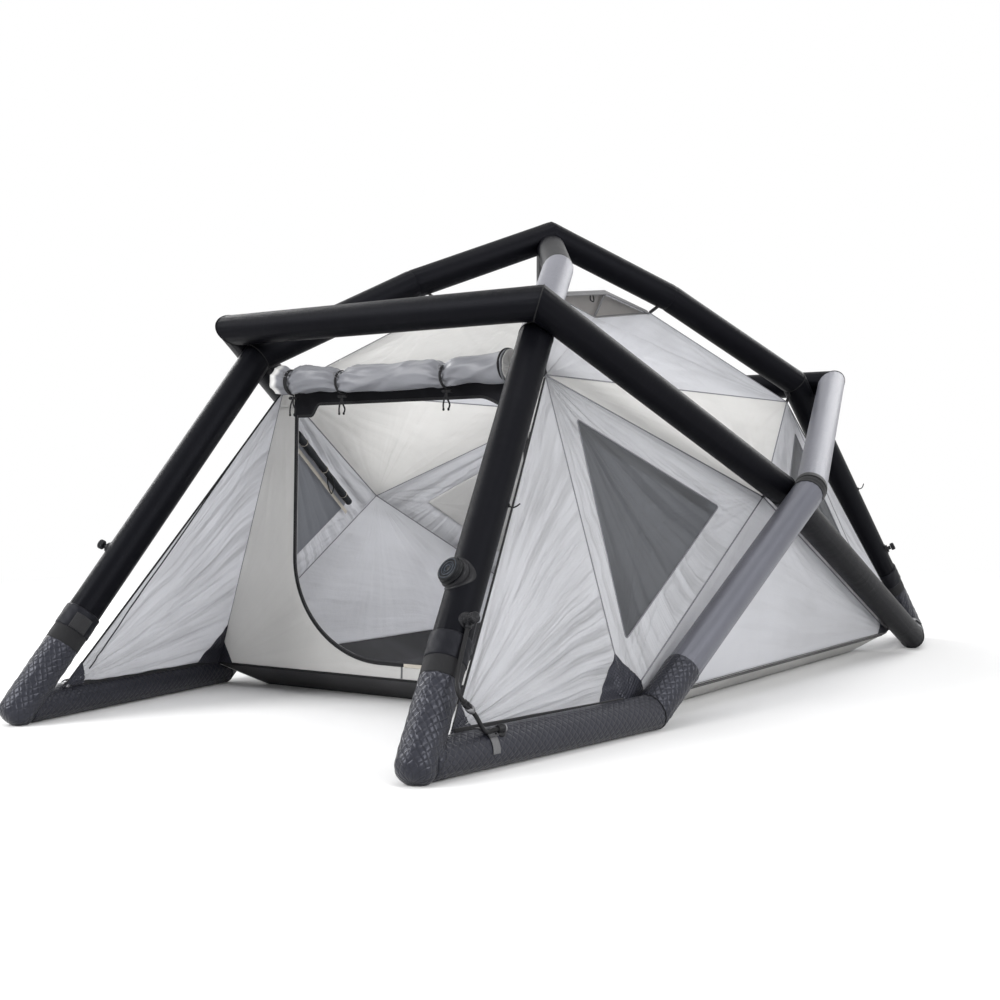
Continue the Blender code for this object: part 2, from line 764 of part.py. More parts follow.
def build_windows(panel_meshes, corners):
    for end in ("front", "rear"):
        for _, mark in SIDES:
            facet = (f"shoulder_{end}_{mark}", f"foot_{end}_{mark}", f"peak_{mark}")
            _, normal = plane_of(facet, corners)
            hole = plate_mesh(window_outline(end, mark, corners, 0), normal, window_cut_depth)
            name = f"side_{end}_{mark}"
            panel_meshes[name] = cut_away(panel_meshes[name], [solid_cutter("window", hole)])
            outline = window_outline(end, mark, corners, seam_gap)
            pane = plate_mesh(outline, normal, pane_thickness)
            centre = sum(outline, Vector()) / len(outline)
            link(f"window_{end}_{mark}", pane, "mesh_grey", centre)


class WallFrame:
    """Axes of the front wall: u across it, v up its slope, w out of it."""

    def __init__(self, corners):
        left, right = corners["foot_front_left"], corners["foot_front_right"]
        self.origin = (left + right) / 2
        top = (corners["shoulder_front_left"] + corners["shoulder_front_right"]) / 2
        self.height = (top - self.origin).length
        self.across = (right - left).normalized()
        self.up = (top - self.origin).normalized()
        self.out = self.across.cross(self.up)

    def point(self, u, v, w=0.0):
        return self.origin + self.across * u + self.up * v + self.out * w

    def outline(self, pairs):
        return [self.point(u, v) for u, v in pairs]

    def axes(self):
        return Matrix((self.across, self.up, self.out)).transposed()


def door_path(margin):
    """The U of the opening from the top left, down, round and up, set out by a margin."""
    side = door_half_width + margin
    sill = door_sill_height - margin
    centre_u = door_half_width - door_corner_width
    centre_v = door_sill_height + door_corner_height
    path = [(-side, door_head_height)]
    for step in range(door_corner_steps + 1):
        angle = math.pi / 2 * step / door_corner_steps
        path.append((-centre_u - (side - centre_u) * math.cos(angle),
                     centre_v - (centre_v - sill) * math.sin(angle)))
    path += [(-u, v) for u, v in reversed(path)]
    return path


def build_door(panel_meshes, wall):
    opening = plate_mesh(wall.outline(door_path(0)), wall.out, cut_overrun)
    panel_meshes["wall_front"] = cut_away(panel_meshes["wall_front"],
                                          [solid_cutter("door", opening)])
    face = cloth_thickness / 2 + seam_gap
    track = door_path(zip_offset + zip_width) + list(reversed(door_path(zip_offset)))
    strip = plate_mesh(wall.outline(track), wall.out, zip_thickness, face + zip_thickness / 2)
    link("door_zip", strip, "sleeve_black", wall.point(0, 0), wall.axes())

    middle = door_half_width + zip_offset + zip_width / 2
    high = face + zip_thickness + seam_gap
    body = [(middle + a * slider_width / 2, slider_height + b * slider_length / 2)
            for a, b in ((-1, -1), (1, -1), (1, 1), (-1, 1))]
    block = plate_mesh(wall.outline(body), wall.out, slider_thickness,
                       high + slider_thickness / 2)
    link("zip_slider", block, "fitting_metal", wall.point(middle, slider_height), wall.axes())
    top = slider_height - slider_length / 2 + pull_width
    tab = [(middle + a * pull_width / 2, top - b * pull_length)
           for a, b in ((-1, 1), (1, 1), (1, 0), (-1, 0))]
    lift = high + slider_thickness + seam_gap
    pull = plate_mesh(wall.outline(tab), wall.out, pull_thickness, lift + pull_thickness / 2)
    link("zip_pull", pull, "webbing", wall.point(middle, top, lift + pull_thickness / 2),
         wall.axes())

    low = door_head_height + zip_offset
    band = [(-header_half_width, low), (header_half_width, low),
            (header_half_width, low + header_height), (-header_half_width, low + header_height)]
    header = plate_mesh(wall.outline(band), wall.out, header_thickness,
                        face + header_thickness / 2)
    link("door_header", header, "floor_black", wall.point(0, low), wall.axes())


def roll_size(place):
    """The rolled door's radius: full between the ties, drawn in under each of them."""
    away = [max(abs(place - tie) - tie_width, 0.0) for tie in tie_places]
    drawn = sum(math.exp(-((distance / roll_tie_reach) ** 2)) for distance in away)
    hollow = roll_swell * math.sin((place - roll_left_end) / tie_width) ** 2 * (1 - min(drawn, 1.0))
    size = roll_radius - roll_tie_depth * min(drawn, 1.0) - hollow
    for margin, share in roll_end_shares:
        for edge in (roll_left_end, roll_right_end):
            if abs(place - edge) <= margin + seam_gap:
                return size * share
    return size


def build_roll(wall):
    """The rolled door rests on the wall's top seam, and a loop with a toggle holds it at each tie."""
    seat = roll_radius + saddle_gap
    rise = seat * roll_rise_share
    out = math.sqrt(seat**2 - rise**2)
    up = wall.height + rise
    places = {roll_left_end + (roll_right_end - roll_left_end) * step / (roll_stations - 1)
              for step in range(roll_stations)}
    for margin, _ in roll_end_shares:
        places |= {roll_left_end + margin, roll_right_end - margin}
    for tie in tie_places:
        places |= {tie - tie_width, tie + tie_width}
    places = sorted(places)
    points = [wall.point(place, up, out) for place in places]
    mesh = tube_mesh(points, [roll_size(place) for place in places])
    shaded_smooth(link("door_roll", mesh, "cloth_silver", wall.point(0, up, out), wall.axes()))
    inner = roll_radius - roll_tie_depth + seam_gap
    outer = inner + tie_thickness
    half = tie_width / 2
    for count, place in enumerate(tie_places, 1):
        centre = wall.point(place, up, out)
        ring = [(inner, half), (outer, half), (outer, -half), (inner, -half), (inner, half)]
        loop = turned_mesh(ring, centre, wall.across, tie_steps)
        low = centre - wall.up * (outer + toggle_drop)
        bar_half = wall.across * toggle_length / 2
        bar = tube_mesh([low - bar_half, low + bar_half], [toggle_radius] * 2)
        cord_top = centre - wall.up * (inner + tie_thickness / 2)
        cord = tube_mesh([cord_top, low], [toggle_radius / 2] * 2, 1)
        parts = [solid_cutter("toggle", bar), solid_cutter("toggle_cord", cord)]
        link(f"door_tie_{count}", cut_away(loop, parts, "UNION"), "webbing", centre, wall.axes())


def leg_frame(at, end, mark, place, towards):
    """A point on a leg's axis, and the direction there that is square to it and nearest towards."""
    foot, shoulder = at[f"{end}_foot_{mark}"], at[f"{end}_shoulder_{mark}"]
    along = (shoulder - foot).normalized()
    out = (towards - along * towards.dot(along)).normalized()
    return foot + along * place, along, out


def saddle(mesh, at, end, mark):
    """Seat a fitting on a leg: cut it back to the leg's round surface."""
    foot, shoulder = at[f"{end}_foot_{mark}"], at[f"{end}_shoulder_{mark}"]
    return cut_away(mesh, [straight_cutter("leg", foot, shoulder)])


def build_big_valve(at):
    centre, _, out = leg_frame(at, "front", "right", valve_place, Vector(valve_facing))
    base = tube_radius + seam_gap
    flange = base + valve_flange_height
    neck = flange + valve_neck_height
    sunk = tube_radius * valve_sunk_share
    body = turned_mesh([(0, neck), (valve_neck_radius, neck), (valve_neck_radius, flange),
                        (valve_flange_radius * valve_flange_taper_share, flange),
                        (valve_flange_radius, base),
                        (valve_flange_radius, sunk), (0, sunk)], centre, out, valve_steps)
    shaded_smooth(link("valve_body", saddle(body, at, "front", "right"), "valve_black", centre,
                       out.to_track_quat("Z", "Y").to_matrix()))
    inside = neck + seam_gap
    bore = valve_neck_radius + seam_gap
    top = inside + valve_cap_wall
    low = flange + seam_gap
    rim = low + valve_rim_height
    face = valve_cap_radius * valve_cap_top_share
    cap = turned_mesh([(0, top), (face, top), (valve_cap_radius, top - valve_cap_wall),
                       (valve_cap_radius, rim), (valve_rim_radius, rim), (valve_rim_radius, low),
                       (bore, low), (bore, inside), (0, inside)], centre, out, valve_steps)
    shaded_smooth(link("valve_cap", cap, "valve_blue_black", centre,
                       out.to_track_quat("Z", "Y").to_matrix()))


def build_small_valve(name, at, end, mark, place, towards):
    """A stop valve: a base on the sleeve and a knob that turns on its neck."""
    centre, _, out = leg_frame(at, end, mark, place, towards)
    base = tube_radius + small_valve_base_height
    neck = base + small_valve_neck_height
    top = neck + small_valve_knob_height
    sunk = tube_radius * small_valve_sunk_share
    body = turned_mesh([(0, neck), (small_valve_neck_radius, neck),
                        (small_valve_neck_radius, base), (small_valve_base_radius, base),
                        (small_valve_base_radius, sunk), (0, sunk)], centre, out, small_valve_steps)
    axes = out.to_track_quat("Z", "Y").to_matrix()
    shaded_smooth(link(f"{name}_base", saddle(body, at, end, mark), "valve_black", centre, axes))
    low = neck + seam_gap
    soft = small_valve_knob_bevel
    knob = turned_mesh([(0, top), (small_valve_knob_radius - soft, top),
                        (small_valve_knob_radius, top - soft), (small_valve_knob_radius, low + soft),
                        (small_valve_knob_radius - soft, low), (0, low)], centre, out,
                       small_valve_steps)
    shaded_smooth(link(f"{name}_knob", knob, "valve_black", centre, axes))
    return centre, out


def smooth_route(knots, steps):
    """Points on a smooth curve through the knots, each stretch a cubic with tangents between them."""
    route = [knots[0]]
    for index in range(len(knots) - 1):
        before = knots[max(index - 1, 0)]
        start, end = knots[index], knots[index + 1]
        after = knots[min(index + 2, len(knots) - 1)]
        handles = start + (end - before) / 6, end - (after - start) / 6
        route += interpolate_bezier(start, handles[0], handles[1], end, steps + 1)[1:]
    return route


def build_hose(at, valve_out):
    """The hose from the link valve down the leg, over the cuff and round to the ground tube."""
    foot, mid = at["front_foot_right"], at["front_mid_right"]
    up = (at["front_shoulder_right"] - foot).normalized()
    on_cuff = tube_radius + cuff_thickness + hose_radius + saddle_gap
    on_sleeve = tube_radius + foot_sleeve_thickness + hose_radius + cuff_thickness
    cuff_top = foot_sleeve_length + cuff_length
    start_place = small_valve_place - small_valve_base_radius - seam_gap
    knots = [foot + up * place + valve_out * reach for place, reach in (
        (start_place, on_cuff), (cuff_top, on_cuff), (foot_sleeve_length, on_cuff + hose_cuff_bow),
        (hose_leg_end, on_sleeve + hose_leg_bow))]
    along = (mid - foot).normalized()
    lean = UP * math.cos(fitting_lean) + along.cross(UP) * math.sin(fitting_lean)
    centre = foot + along * hose_ground_place + lean * (tube_radius + saddle_gap + fitting_radius)
    back = centre - along * (fitting_length / 2 + seam_gap)
    straight = centre - along * fitting_length
    approach = straight - along * fitting_length
    turn = knots[-1].lerp(approach, hose_turn_share) + valve_out * hose_radius
    knots += [turn, approach, straight, back]
    route = smooth_route(knots, hose_steps)
    hose = tube_mesh(route, [hose_radius] * len(route), hose_sides_resolution)
    shaded_smooth(link("link_hose", hose, "valve_black", knots[0]))
    half = along * fitting_length / 2
    barrel = tube_mesh([centre - half, centre + half], [fitting_radius] * 2, fitting_sides_resolution)
    seat = foot + along * hose_ground_place
    sunk = tube_radius * fitting_sunk_share
    height = tube_radius + saddle_gap + fitting_radius
    base = turned_mesh([(0, height), (fitting_radius * fitting_base_taper_share, height),
                        (fitting_base_radius, height - fitting_radius),
                        (fitting_base_radius, sunk), (0, sunk)], seat, lean, small_valve_steps)
    whole = cut_away(barrel, [solid_cutter("fitting_base", base)], "UNION")
    whole = cut_away(whole, [straight_cutter("ground", foot, mid)])
    shaded_smooth(link("hose_fitting", whole, "fitting_metal", centre))


def build_vent(corners):
    """The mesh that closes the vent, and the webbing prop that holds its hood up.

    The prop hangs inside the line it folds about, so it folds flat over the lip below it.
    """
    lip, hood = corners["vent_lip"], corners["vent_hood"]
    front, rear = corners["bend_front_right"], corners["bend_rear_right"]
    inward = Vector((-vent_mesh_inset, 0, 0))
    ends = [((lip + hood) / 2).lerp(end, 1 - vent_mesh_setback / (end - lip).length) + inward
            for end in (front, rear)]
    low = lip.lerp(hood, vent_mesh_margin_share) + inward
    high = hood.lerp(lip, vent_mesh_margin_share) + inward
    mesh = sheet_mesh([(ends[0], low, high), (low, ends[1], high)], pane_thickness)
    link("vent_mesh", mesh, "mesh_grey", low)
    rise = (hood - lip).normalized()
    across = (rear - front).normalized()
    clear = cloth_thickness + seam_gap
    foot, head = lip + rise * clear, hood - rise * (clear + prop_thickness)
    half = across * prop_width / 2
    strip = plate_mesh([foot - half, foot + half, head + half, head - half], across.cross(rise),
                       prop_thickness, -prop_thickness / 2)
    link("vent_prop", strip, "webbing", foot)


def main():
    at = frame_points()
    cutters = frame_cutters(at)
    build_legs(at, cutters)
    build_arches(at, cutters)
    build_loops(at, cutters)
    build_ground_tubes(at, cutters)
    corners = tent_corners(at)
    panels = panel_facets()
    panel_meshes = {name: panel_mesh(name, panels, corners) for name in panels}
    wall = WallFrame(corners)
    build_windows(panel_meshes, corners)
    build_door(panel_meshes, wall)
    build_roll(wall)
    for name, mesh in panel_meshes.items():
        finish = "floor_black" if name == "floor_tray" else "cloth_silver"
        link(name, mesh, finish, corners[panels[name][0][0]])
    build_big_valve(at)
    build_small_valve("left_valve", at, "front", "left", left_valve_place,
                      Vector(left_valve_facing))
    build_small_valve("rear_valve", at, "rear", "right", rear_valve_place,
                      Vector(rear_valve_facing))
    _, link_out = build_small_valve("link_valve", at, "front", "right", small_valve_place,
                                    Vector(small_valve_facing))
    build_hose(at, link_out)
    build_vent(corners)


main()
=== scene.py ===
"""Looks of an inflatable tent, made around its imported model."""

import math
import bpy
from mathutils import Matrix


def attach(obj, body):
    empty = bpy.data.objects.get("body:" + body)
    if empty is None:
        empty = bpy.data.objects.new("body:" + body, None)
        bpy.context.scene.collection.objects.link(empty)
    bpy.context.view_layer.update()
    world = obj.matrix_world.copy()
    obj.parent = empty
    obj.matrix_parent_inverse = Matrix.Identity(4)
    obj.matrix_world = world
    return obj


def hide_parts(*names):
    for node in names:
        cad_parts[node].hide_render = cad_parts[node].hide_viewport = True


bl_info = {
    "name": "Inflatable Tent Looks",
    "version": (1, 0, 0),
    "blender": (4, 5, 0),
    "location": "3D View > Sidebar > Tent",
    "description": "Sleeves, cloth panels, trim and fittings of an inflatable tent",
    "category": "Object",
}

import bmesh
import bpy
import numpy as np
from bpy.props import FloatProperty, FloatVectorProperty, PointerProperty
from mathutils import Matrix

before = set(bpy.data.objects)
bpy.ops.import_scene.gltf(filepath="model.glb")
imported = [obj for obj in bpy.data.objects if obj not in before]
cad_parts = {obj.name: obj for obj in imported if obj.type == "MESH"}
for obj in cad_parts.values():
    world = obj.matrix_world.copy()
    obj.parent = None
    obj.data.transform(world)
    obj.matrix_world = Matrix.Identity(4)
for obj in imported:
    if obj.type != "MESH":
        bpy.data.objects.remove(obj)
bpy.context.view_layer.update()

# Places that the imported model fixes, in metres: the right side's, mirrored for the left
TUBE_RADIUS = 0.0375
GROUND_FLAT = 0.0005
TUBE_SIDES = 72
ROW_PITCH = 0.015
SEAM_PINCH = 0.020
PRESS_REACH = TUBE_RADIUS + 0.0006
FOOT = {"front": (0.549, -1.300), "rear": (0.545, 1.300)}
MID_FOOT = {"front": (0.637, -0.615), "rear": (0.634, 1.051)}
SHOULDER = {"front": (0.409, -0.701, 0.830), "rear": (0.409, 0.684, 0.804)}
BROW = {"front": (0.4445, -0.743, 0.8955), "rear": (0.485, 0.782, 0.802)}
BEND = {"front": (0.223, -0.316, 1.035), "rear": (0.199, 0.303, 1.030)}
SIDE_CROSSING = (0.664, 0.0, 0.4975)
APEX_HEIGHT = 1.17985
APEX_DROP = 0.030
TENT = {
    "shoulder_front": (0.387, -0.632, 0.754),
    "shoulder_rear": (0.400, 0.650, 0.745),
    "peak": (0.615, 0.0, 0.479),
    "bend_front": (0.165, -0.250, 0.985),
    "bend_rear": (0.165, 0.250, 0.985),
    "foot_front": (0.5999, -0.655, 0.0595),
    "foot_rear": (0.600, 0.930, 0.060),
    "wing_front": (0.5391, -1.190, 0.0679),
    "wing_rear": (0.5603, 1.190, 0.0679),
    "tray_front": (0.510, -0.565, 0.001),
    "tray_rear": (0.510, 0.840, 0.001),
    "vent_lip": (0.137, 0.0, 0.953),
    "vent_hood": (0.172, 0.0, 1.016),
    "ridge": (0.0, 0.0, 1.040),
}
WING_SAG = 0.004
SKIRT_SHARE = 0.96
SEAM_RADIUS = 0.0021
RIDGE_RADIUS = 0.0023
FOOT_SLEEVE = 0.165
CUFF = 0.085
DOOR_HALF_WIDTH = 0.335
DOOR_SILL = 0.042
DOOR_HEAD = 0.651
DOOR_CORNER = (0.270, 0.240)
WINDOW_SHARES = ((0.80, 0.10, 0.10), (0.14, 0.79, 0.07), (0.14, 0.14, 0.72))
WINDOW_RADIUS = 0.004
ROLL = {"left": -0.365, "right": 0.325, "radius": 0.043}
ROLL_PLACE = (0.0, -0.671, 0.775)
TIES = (-0.318, -0.160, 0.150)
SIDES = (("right", 1.0), ("left", -1.0))
ENDS = ("front", "rear")
PARTS = [(end, mark, sign) for mark, sign in SIDES for end in ENDS]
# An end wall's or the floor's corners in order round it
WALL_RING = (("foot", -1), ("foot", 1), ("shoulder", 1), ("shoulder", -1))
FLOOR_RING = (("front", -1), ("front", 1), ("rear", 1), ("rear", -1))
SLIDER_HEIGHT = 0.606
HOSE_RADIUS = 0.0042
HOSE_REACH = 0.0463
FITTING = {"place": 0.190, "radius": 0.0075, "length": 0.022,
           "up": math.cos(math.radians(35)), "aside": math.sin(math.radians(35))}
VALVES = {
    "big": (0.372, (-0.08, -1, 0)),
    "link": (0.279, (0.887, -0.457, 0)),
    "left": (0.408, (-0.82, -0.57, 0)),
    "rear": (0.318, (0.82, 0.57, 0)),
}
LAMPS = (
    ("key", (-2.6, -5.0, 3.6), 2.6, 230.0),
    ("fill", (5.2, -1.6, 2.8), 3.0, 170.0),
    ("left", (-5.0, 1.0, 3.0), 3.0, 165.0),
    ("back", (0.5, 5.5, 3.2), 3.0, 90.0),
    ("top", (0.8, -0.8, 5.6), 2.6, 70.0),
)
INSIDE = (0.0, 0.10, 0.50)
FLOOR_REACH = 60.0

# The camera that the photograph's lines give
CAMERA_PLACE = (2.06173579, -3.23244255, 0.53375119)
CAMERA_YAW = math.radians(-34.63)
CAMERA_PITCH = math.radians(-0.96)
CAMERA_ROLL = math.radians(-0.36)
CAMERA_LENS_PIXELS = 1415.56
IMAGE_PIXELS = 1000
SENSOR_WIDTH = 36.0


def vec(*values):
    return np.array(values, float)


def unit(vector):
    return vector / np.linalg.norm(vector, axis=-1, keepdims=True)


def place(table_entry, sign=1.0, height=None):
    """A right-side place as an array, mirrored when sign is -1."""
    x, y = table_entry[:2]
    z = height if height is not None else table_entry[2]
    return vec(sign * x, y, z)


def tent_place(name, sign=1.0):
    return place(TENT[name], sign)


def smooth_step(low, high, value):
    """0 below low, 1 above high, and a cubic ease between them."""
    share = np.clip((value - low) / (high - low), 0, 1)
    return share * share * (3 - 2 * share)


def run_lengths(points):
    """The distance along a polyline to each of its points."""
    return np.r_[0, np.cumsum(np.linalg.norm(np.diff(points, axis=0), axis=1))]


def along_line(points, count):
    """A polyline's points spread evenly along its length."""
    points = np.asarray(points, float)
    lengths = run_lengths(points)
    wanted = np.linspace(0, lengths[-1], count)
    return np.stack([np.interp(wanted, lengths, points[:, axis]) for axis in range(3)], axis=1)


def ruled(first, second, steps):
    """A grid of straight rungs from each point of one curve to its partner on the other."""
    share = np.linspace(0, 1, steps + 1)[None, :, None]
    return np.asarray(first)[:, None] * (1 - share) + np.asarray(second)[:, None] * share


def line(start, end, steps):
    """Even points from start to end."""
    return np.linspace(start, end, steps + 1)


def paired(first, second):
    """Two values at every point, such as a UV in metres."""
    return np.stack(np.broadcast_arrays(first, second), -1)


def spokes(angle, up, across):
    """Directions square to an axis, one for each angle that turns from up towards across."""
    return np.cos(angle) * up + np.sin(angle) * across


def full_turn(steps):
    """Angles once round, the last one equal to the first."""
    return np.linspace(0, 2 * math.pi, steps + 1)


def plane_axes(normal):
    """Two directions square to a normal and to each other."""
    side = unit(np.cross(normal, vec(0, 0, 1) if abs(normal[2]) < 0.9 else vec(1, 0, 0)))
    return side, np.cross(normal, side)


def curve_frame(points):
    """Tangents of a polyline and two directions square to them that turn as little as they can."""
    tangents = unit(np.gradient(points, axis=0))
    sides = [plane_axes(tangents[0])[0]]
    for tangent in tangents[1:]:
        last = sides[-1]
        sides.append(unit(last - tangent * (last @ tangent)))
    return tangents, np.array(sides), np.cross(tangents, sides)


def make_mesh(name, grids, uvs, weld=0.00005, creases=None, closed=False):
    """One mesh from grids of points, welded where they meet, with a UV in metres at each corner and,
    for cloth, each point's angle and distance from a pin and how far it stands up in its fold. The
    faces of a closed mesh are turned outward."""
    faces, start = [], 0
    for grid in grids:
        rows, columns = grid.shape[:2]
        number = np.arange(rows * columns).reshape(rows, columns) + start
        quads = np.stack([number[:-1, :-1], number[1:, :-1], number[1:, 1:], number[:-1, 1:]], -1)
        faces.append(quads.reshape(-1, 4))
        start += rows * columns
    verts = np.concatenate([grid.reshape(-1, 3) for grid in grids])
    mesh = bpy.data.meshes.new(name)
    mesh.from_pydata(verts.tolist(), [], np.concatenate(faces).tolist())
    loops = np.empty(len(mesh.loops), int)
    mesh.loops.foreach_get("vertex_index", loops)
    texture = np.concatenate([uv.reshape(-1, 2) for uv in uvs])
    mesh.uv_layers.new(name="UVMap").data.foreach_set("uv", texture[loops].ravel())
    if creases is not None:
        values = np.concatenate([crease.reshape(-1, 3) for crease in creases])
        mesh.attributes.new("crease", "FLOAT_VECTOR", "POINT").data.foreach_set("vector", values.ravel())
    bm = bmesh.new()
    bm.from_mesh(mesh)
    bmesh.ops.remove_doubles(bm, verts=bm.verts, dist=weld)
    bmesh.ops.dissolve_degenerate(bm, dist=weld, edges=bm.edges)
    if closed:
        bmesh.ops.recalc_face_normals(bm, faces=bm.faces)
    bm.to_mesh(mesh)
    bm.free()
    mesh.polygons.foreach_set("use_smooth", [True] * len(mesh.polygons))
    return mesh


def in_scene(name, data):
    """A new object in the scene."""
    made = bpy.data.objects.new(name, data)
    bpy.context.scene.collection.objects.link(made)
    return made


def add_piece(name, mesh, material, body="tent", replaces=()):
    """Put a finished mesh in the scene, on its body, with the finish of that name."""
    made = in_scene(name, mesh)
    mesh.materials.append(finish(material))
    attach(made, body)
    if replaces:
        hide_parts(*replaces)
    return made


def add_cloth(name, grids, uvs, material, slot="cloth_silver", thickness=0.0015, replaces=(),
              creases=None):
    """A sheet: its grids as one piece with a thickness, half of it to each side."""
    made = add_piece(name, make_mesh(name, grids, uvs, creases=creases), material,
                     replaces=replaces)
    solid = made.modifiers.new("Thickness", "SOLIDIFY")
    solid.thickness = thickness
    solid.offset = 0.0
    return made


# Shader maths


class Socket:
    """One output of a shader node; + - * / and ** on it add Math nodes."""

    def __init__(self, shader, link):
        self.shader = shader
        self.link = link

    def math(self, operation, *values):
        return self.shader.node("ShaderNodeMath", {"operation": operation},
                                [self, *values])["Value"]

    def __add__(self, other):
        return self.math("ADD", other)

    def __radd__(self, other):
        return self.math("ADD", other)

    def __sub__(self, other):
        return self.math("SUBTRACT", other)

    def __rsub__(self, other):
        return (self * -1.0) + other

    def __mul__(self, other):
        return self.math("MULTIPLY", other)

    def __rmul__(self, other):
        return self.math("MULTIPLY", other)

    def __truediv__(self, other):
        return self.math("DIVIDE", other)

    def __pow__(self, other):
        return self.math("POWER", other)

    def absolute(self):
        return self.math("ABSOLUTE")

    def fraction(self):
        return self.math("FRACT")

    def sine(self):
        return self.math("SINE")

    def least(self, other):
        return self.math("MINIMUM", other)

    def most(self, other):
        return self.math("MAXIMUM", other)

    def ramp(self, low, high):
        """0 at low, 1 at high, eased between them."""
        return self.shader.node("ShaderNodeMapRange", {"interpolation_type": "SMOOTHSTEP"},
                                {"Value": self, "From Min": low, "From Max": high})["Result"]


class Shader:
    """A material under construction around one Principled BSDF."""

    def __init__(self, **fixed):
        self.material = bpy.data.materials.new("finish")
        self.material.use_nodes = True
        self.tree = self.material.node_tree
        self.surface = self.tree.nodes["Principled BSDF"]
        for socket, value in fixed.items():
            self.surface.inputs[socket.replace("_", " ")].default_value = value

    def set_inputs(self, node, pairs):
        for key, value in pairs:
            if isinstance(value, Socket):
                self.tree.links.new(value.link, node.inputs[key])
            else:
                node.inputs[key].default_value = value

    def node(self, kind, settings=None, values=()):
        """Any node: its settings first, then the values or links of its inputs; gives its outputs."""
        made = self.tree.nodes.new(kind)
        for name, value in (settings or {}).items():
            setattr(made, name, value)
        self.set_inputs(made, values.items() if isinstance(values, dict) else enumerate(values))
        return {out.name: Socket(self, out) for out in made.outputs if out.enabled}

    def split(self, vector):
        """The three parts of a vector."""
        parts = self.node("ShaderNodeSeparateXYZ", None, [vector])
        return parts["X"], parts["Y"], parts["Z"]

    def place(self):
        return self.node("ShaderNodeTexCoord")["Object"]

    def surface_uv(self):
        """Across and along the surface, in metres."""
        return self.split(self.node("ShaderNodeUVMap", {"uv_map": "UVMap"})["UV"])[:2]

    def crease(self):
        """Angle and distance about a panel's first pin, and the fold, from the mesh."""
        return self.split(self.node("ShaderNodeAttribute", {"attribute_name": "crease"})["Vector"])

    def noise(self, scale, detail=2.0, roughness=0.5, vector=None):
        values = {"Vector": vector or self.place(), "Scale": scale, "Detail": detail,
                  "Roughness": roughness}
        return self.node("ShaderNodeTexNoise", None, values)["Fac"]

    def stretched(self, x, y, z):
        """Object coordinates scaled by axis, so that noise runs long one way."""
        return self.node("ShaderNodeMapping", None,
                         {"Vector": self.place(), "Scale": (x, y, z)})["Vector"]

    def vector(self, x, y, z=0.0):
        return self.node("ShaderNodeCombineXYZ", None, [x, y, z])["Vector"]

    def blend(self, share, first, second):
        """Mix two colours by a share from 0 to 1."""
        made = self.tree.nodes.new("ShaderNodeMix")
        made.data_type = "RGBA"
        first, second = (colour if isinstance(colour, Socket) else (*colour[:3], 1.0)
                         for colour in (first, second))
        self.set_inputs(made, ((0, share), (6, first), (7, second)))
        return Socket(self, made.outputs[2])

    def waves(self, run, pitch):
        """A sine along a surface, one rise each pitch, from 0 to 1."""
        return (run * (2 * math.pi / pitch)).sine() * 0.5 + 0.5

    def weave(self, pitch, x, y):
        """Plain weave: each thread rises over one and dips under the next, 0 to 1."""
        warp = (x * (math.pi / pitch)).sine()
        weft = (y * (math.pi / pitch)).sine()
        return warp * weft * 0.5 + 0.5

    def threads(self, x, y, pitch, low, high):
        """A square grid of threads, 1 on them and 0 between."""
        return self.off_middle(x, pitch).ramp(low, high).most(self.off_middle(y, pitch).ramp(low, high))

    def off_middle(self, run, pitch):
        """How far a place lies from the middle of its pitch, 0 to a half."""
        return ((run / pitch).fraction() - 0.5).absolute()

    def let_through(self, colour, share):
        """Let a share of the light through to the other side."""
        through = self.tree.nodes.new("ShaderNodeBsdfTranslucent")
        self.tree.links.new(colour.link, through.inputs["Color"])
        mix_shaders(self.tree, share, self.surface.outputs["BSDF"], through.outputs["BSDF"])

    def done(self, colour, roughness, height, distance, strength):
        """Feed the surface its colour, its roughness and the height of its relief."""
        normal = self.node("ShaderNodeBump", None,
                           {"Strength": strength, "Distance": distance, "Height": height})["Normal"]
        inputs = {"Base Color": colour, "Roughness": roughness, "Normal": normal}
        self.set_inputs(self.surface, inputs.items())
        return self.material


def mix_shaders(tree, share, first, second):
    """Show two shaders mixed by a share, which is a number or another node's output."""
    mix = tree.nodes.new("ShaderNodeMixShader")
    if isinstance(share, float):
        mix.inputs["Fac"].default_value = share
    else:
        tree.links.new(share, mix.inputs["Fac"])
    tree.links.new(first, mix.inputs[1])
    tree.links.new(second, mix.inputs[2])
    output = next(node for node in tree.nodes if node.type.startswith("OUTPUT"))
    tree.links.new(mix.outputs["Shader"], output.inputs["Surface"])


def shade(colour, factor):
    return tuple(min(channel * factor, 1.0) for channel in colour[:3])


COATED_TINT = (0.86, 0.88, 1.0, 1.0)


def sleeve_material(colour, roughness=0.52, gloss=0.10):
    """Coated polyester sleeve: a fine weave, faint dust and a soft uneven gloss."""
    made = Shader(Sheen_Weight=0.0, Sheen_Roughness=0.45, Specular_IOR_Level=gloss,
                  Specular_Tint=COATED_TINT)
    across, along = made.surface_uv()
    cloudy, fine = made.noise(3.5, 4.0, 0.55), made.noise(60.0, 3.0, 0.6)
    threads = made.weave(0.0011, across, along)
    tint = made.blend(cloudy.ramp(0.35, 0.72), shade(colour, 0.86), tuple(c + 0.0015 for c in colour[:3]))
    tint = made.blend(threads * 0.18 + fine * 0.10, tint, shade(colour, 1.45))
    puckers = made.noise(14.0, 3.0, 0.5, made.vector(across * 1.0, along * 3.2, 0.4))
    return made.done(tint, cloudy * 0.12 + fine * 0.08 + (roughness - 0.10),
                     threads * 0.16 + puckers * 0.9 + fine * 0.12, 0.0016, 0.55)


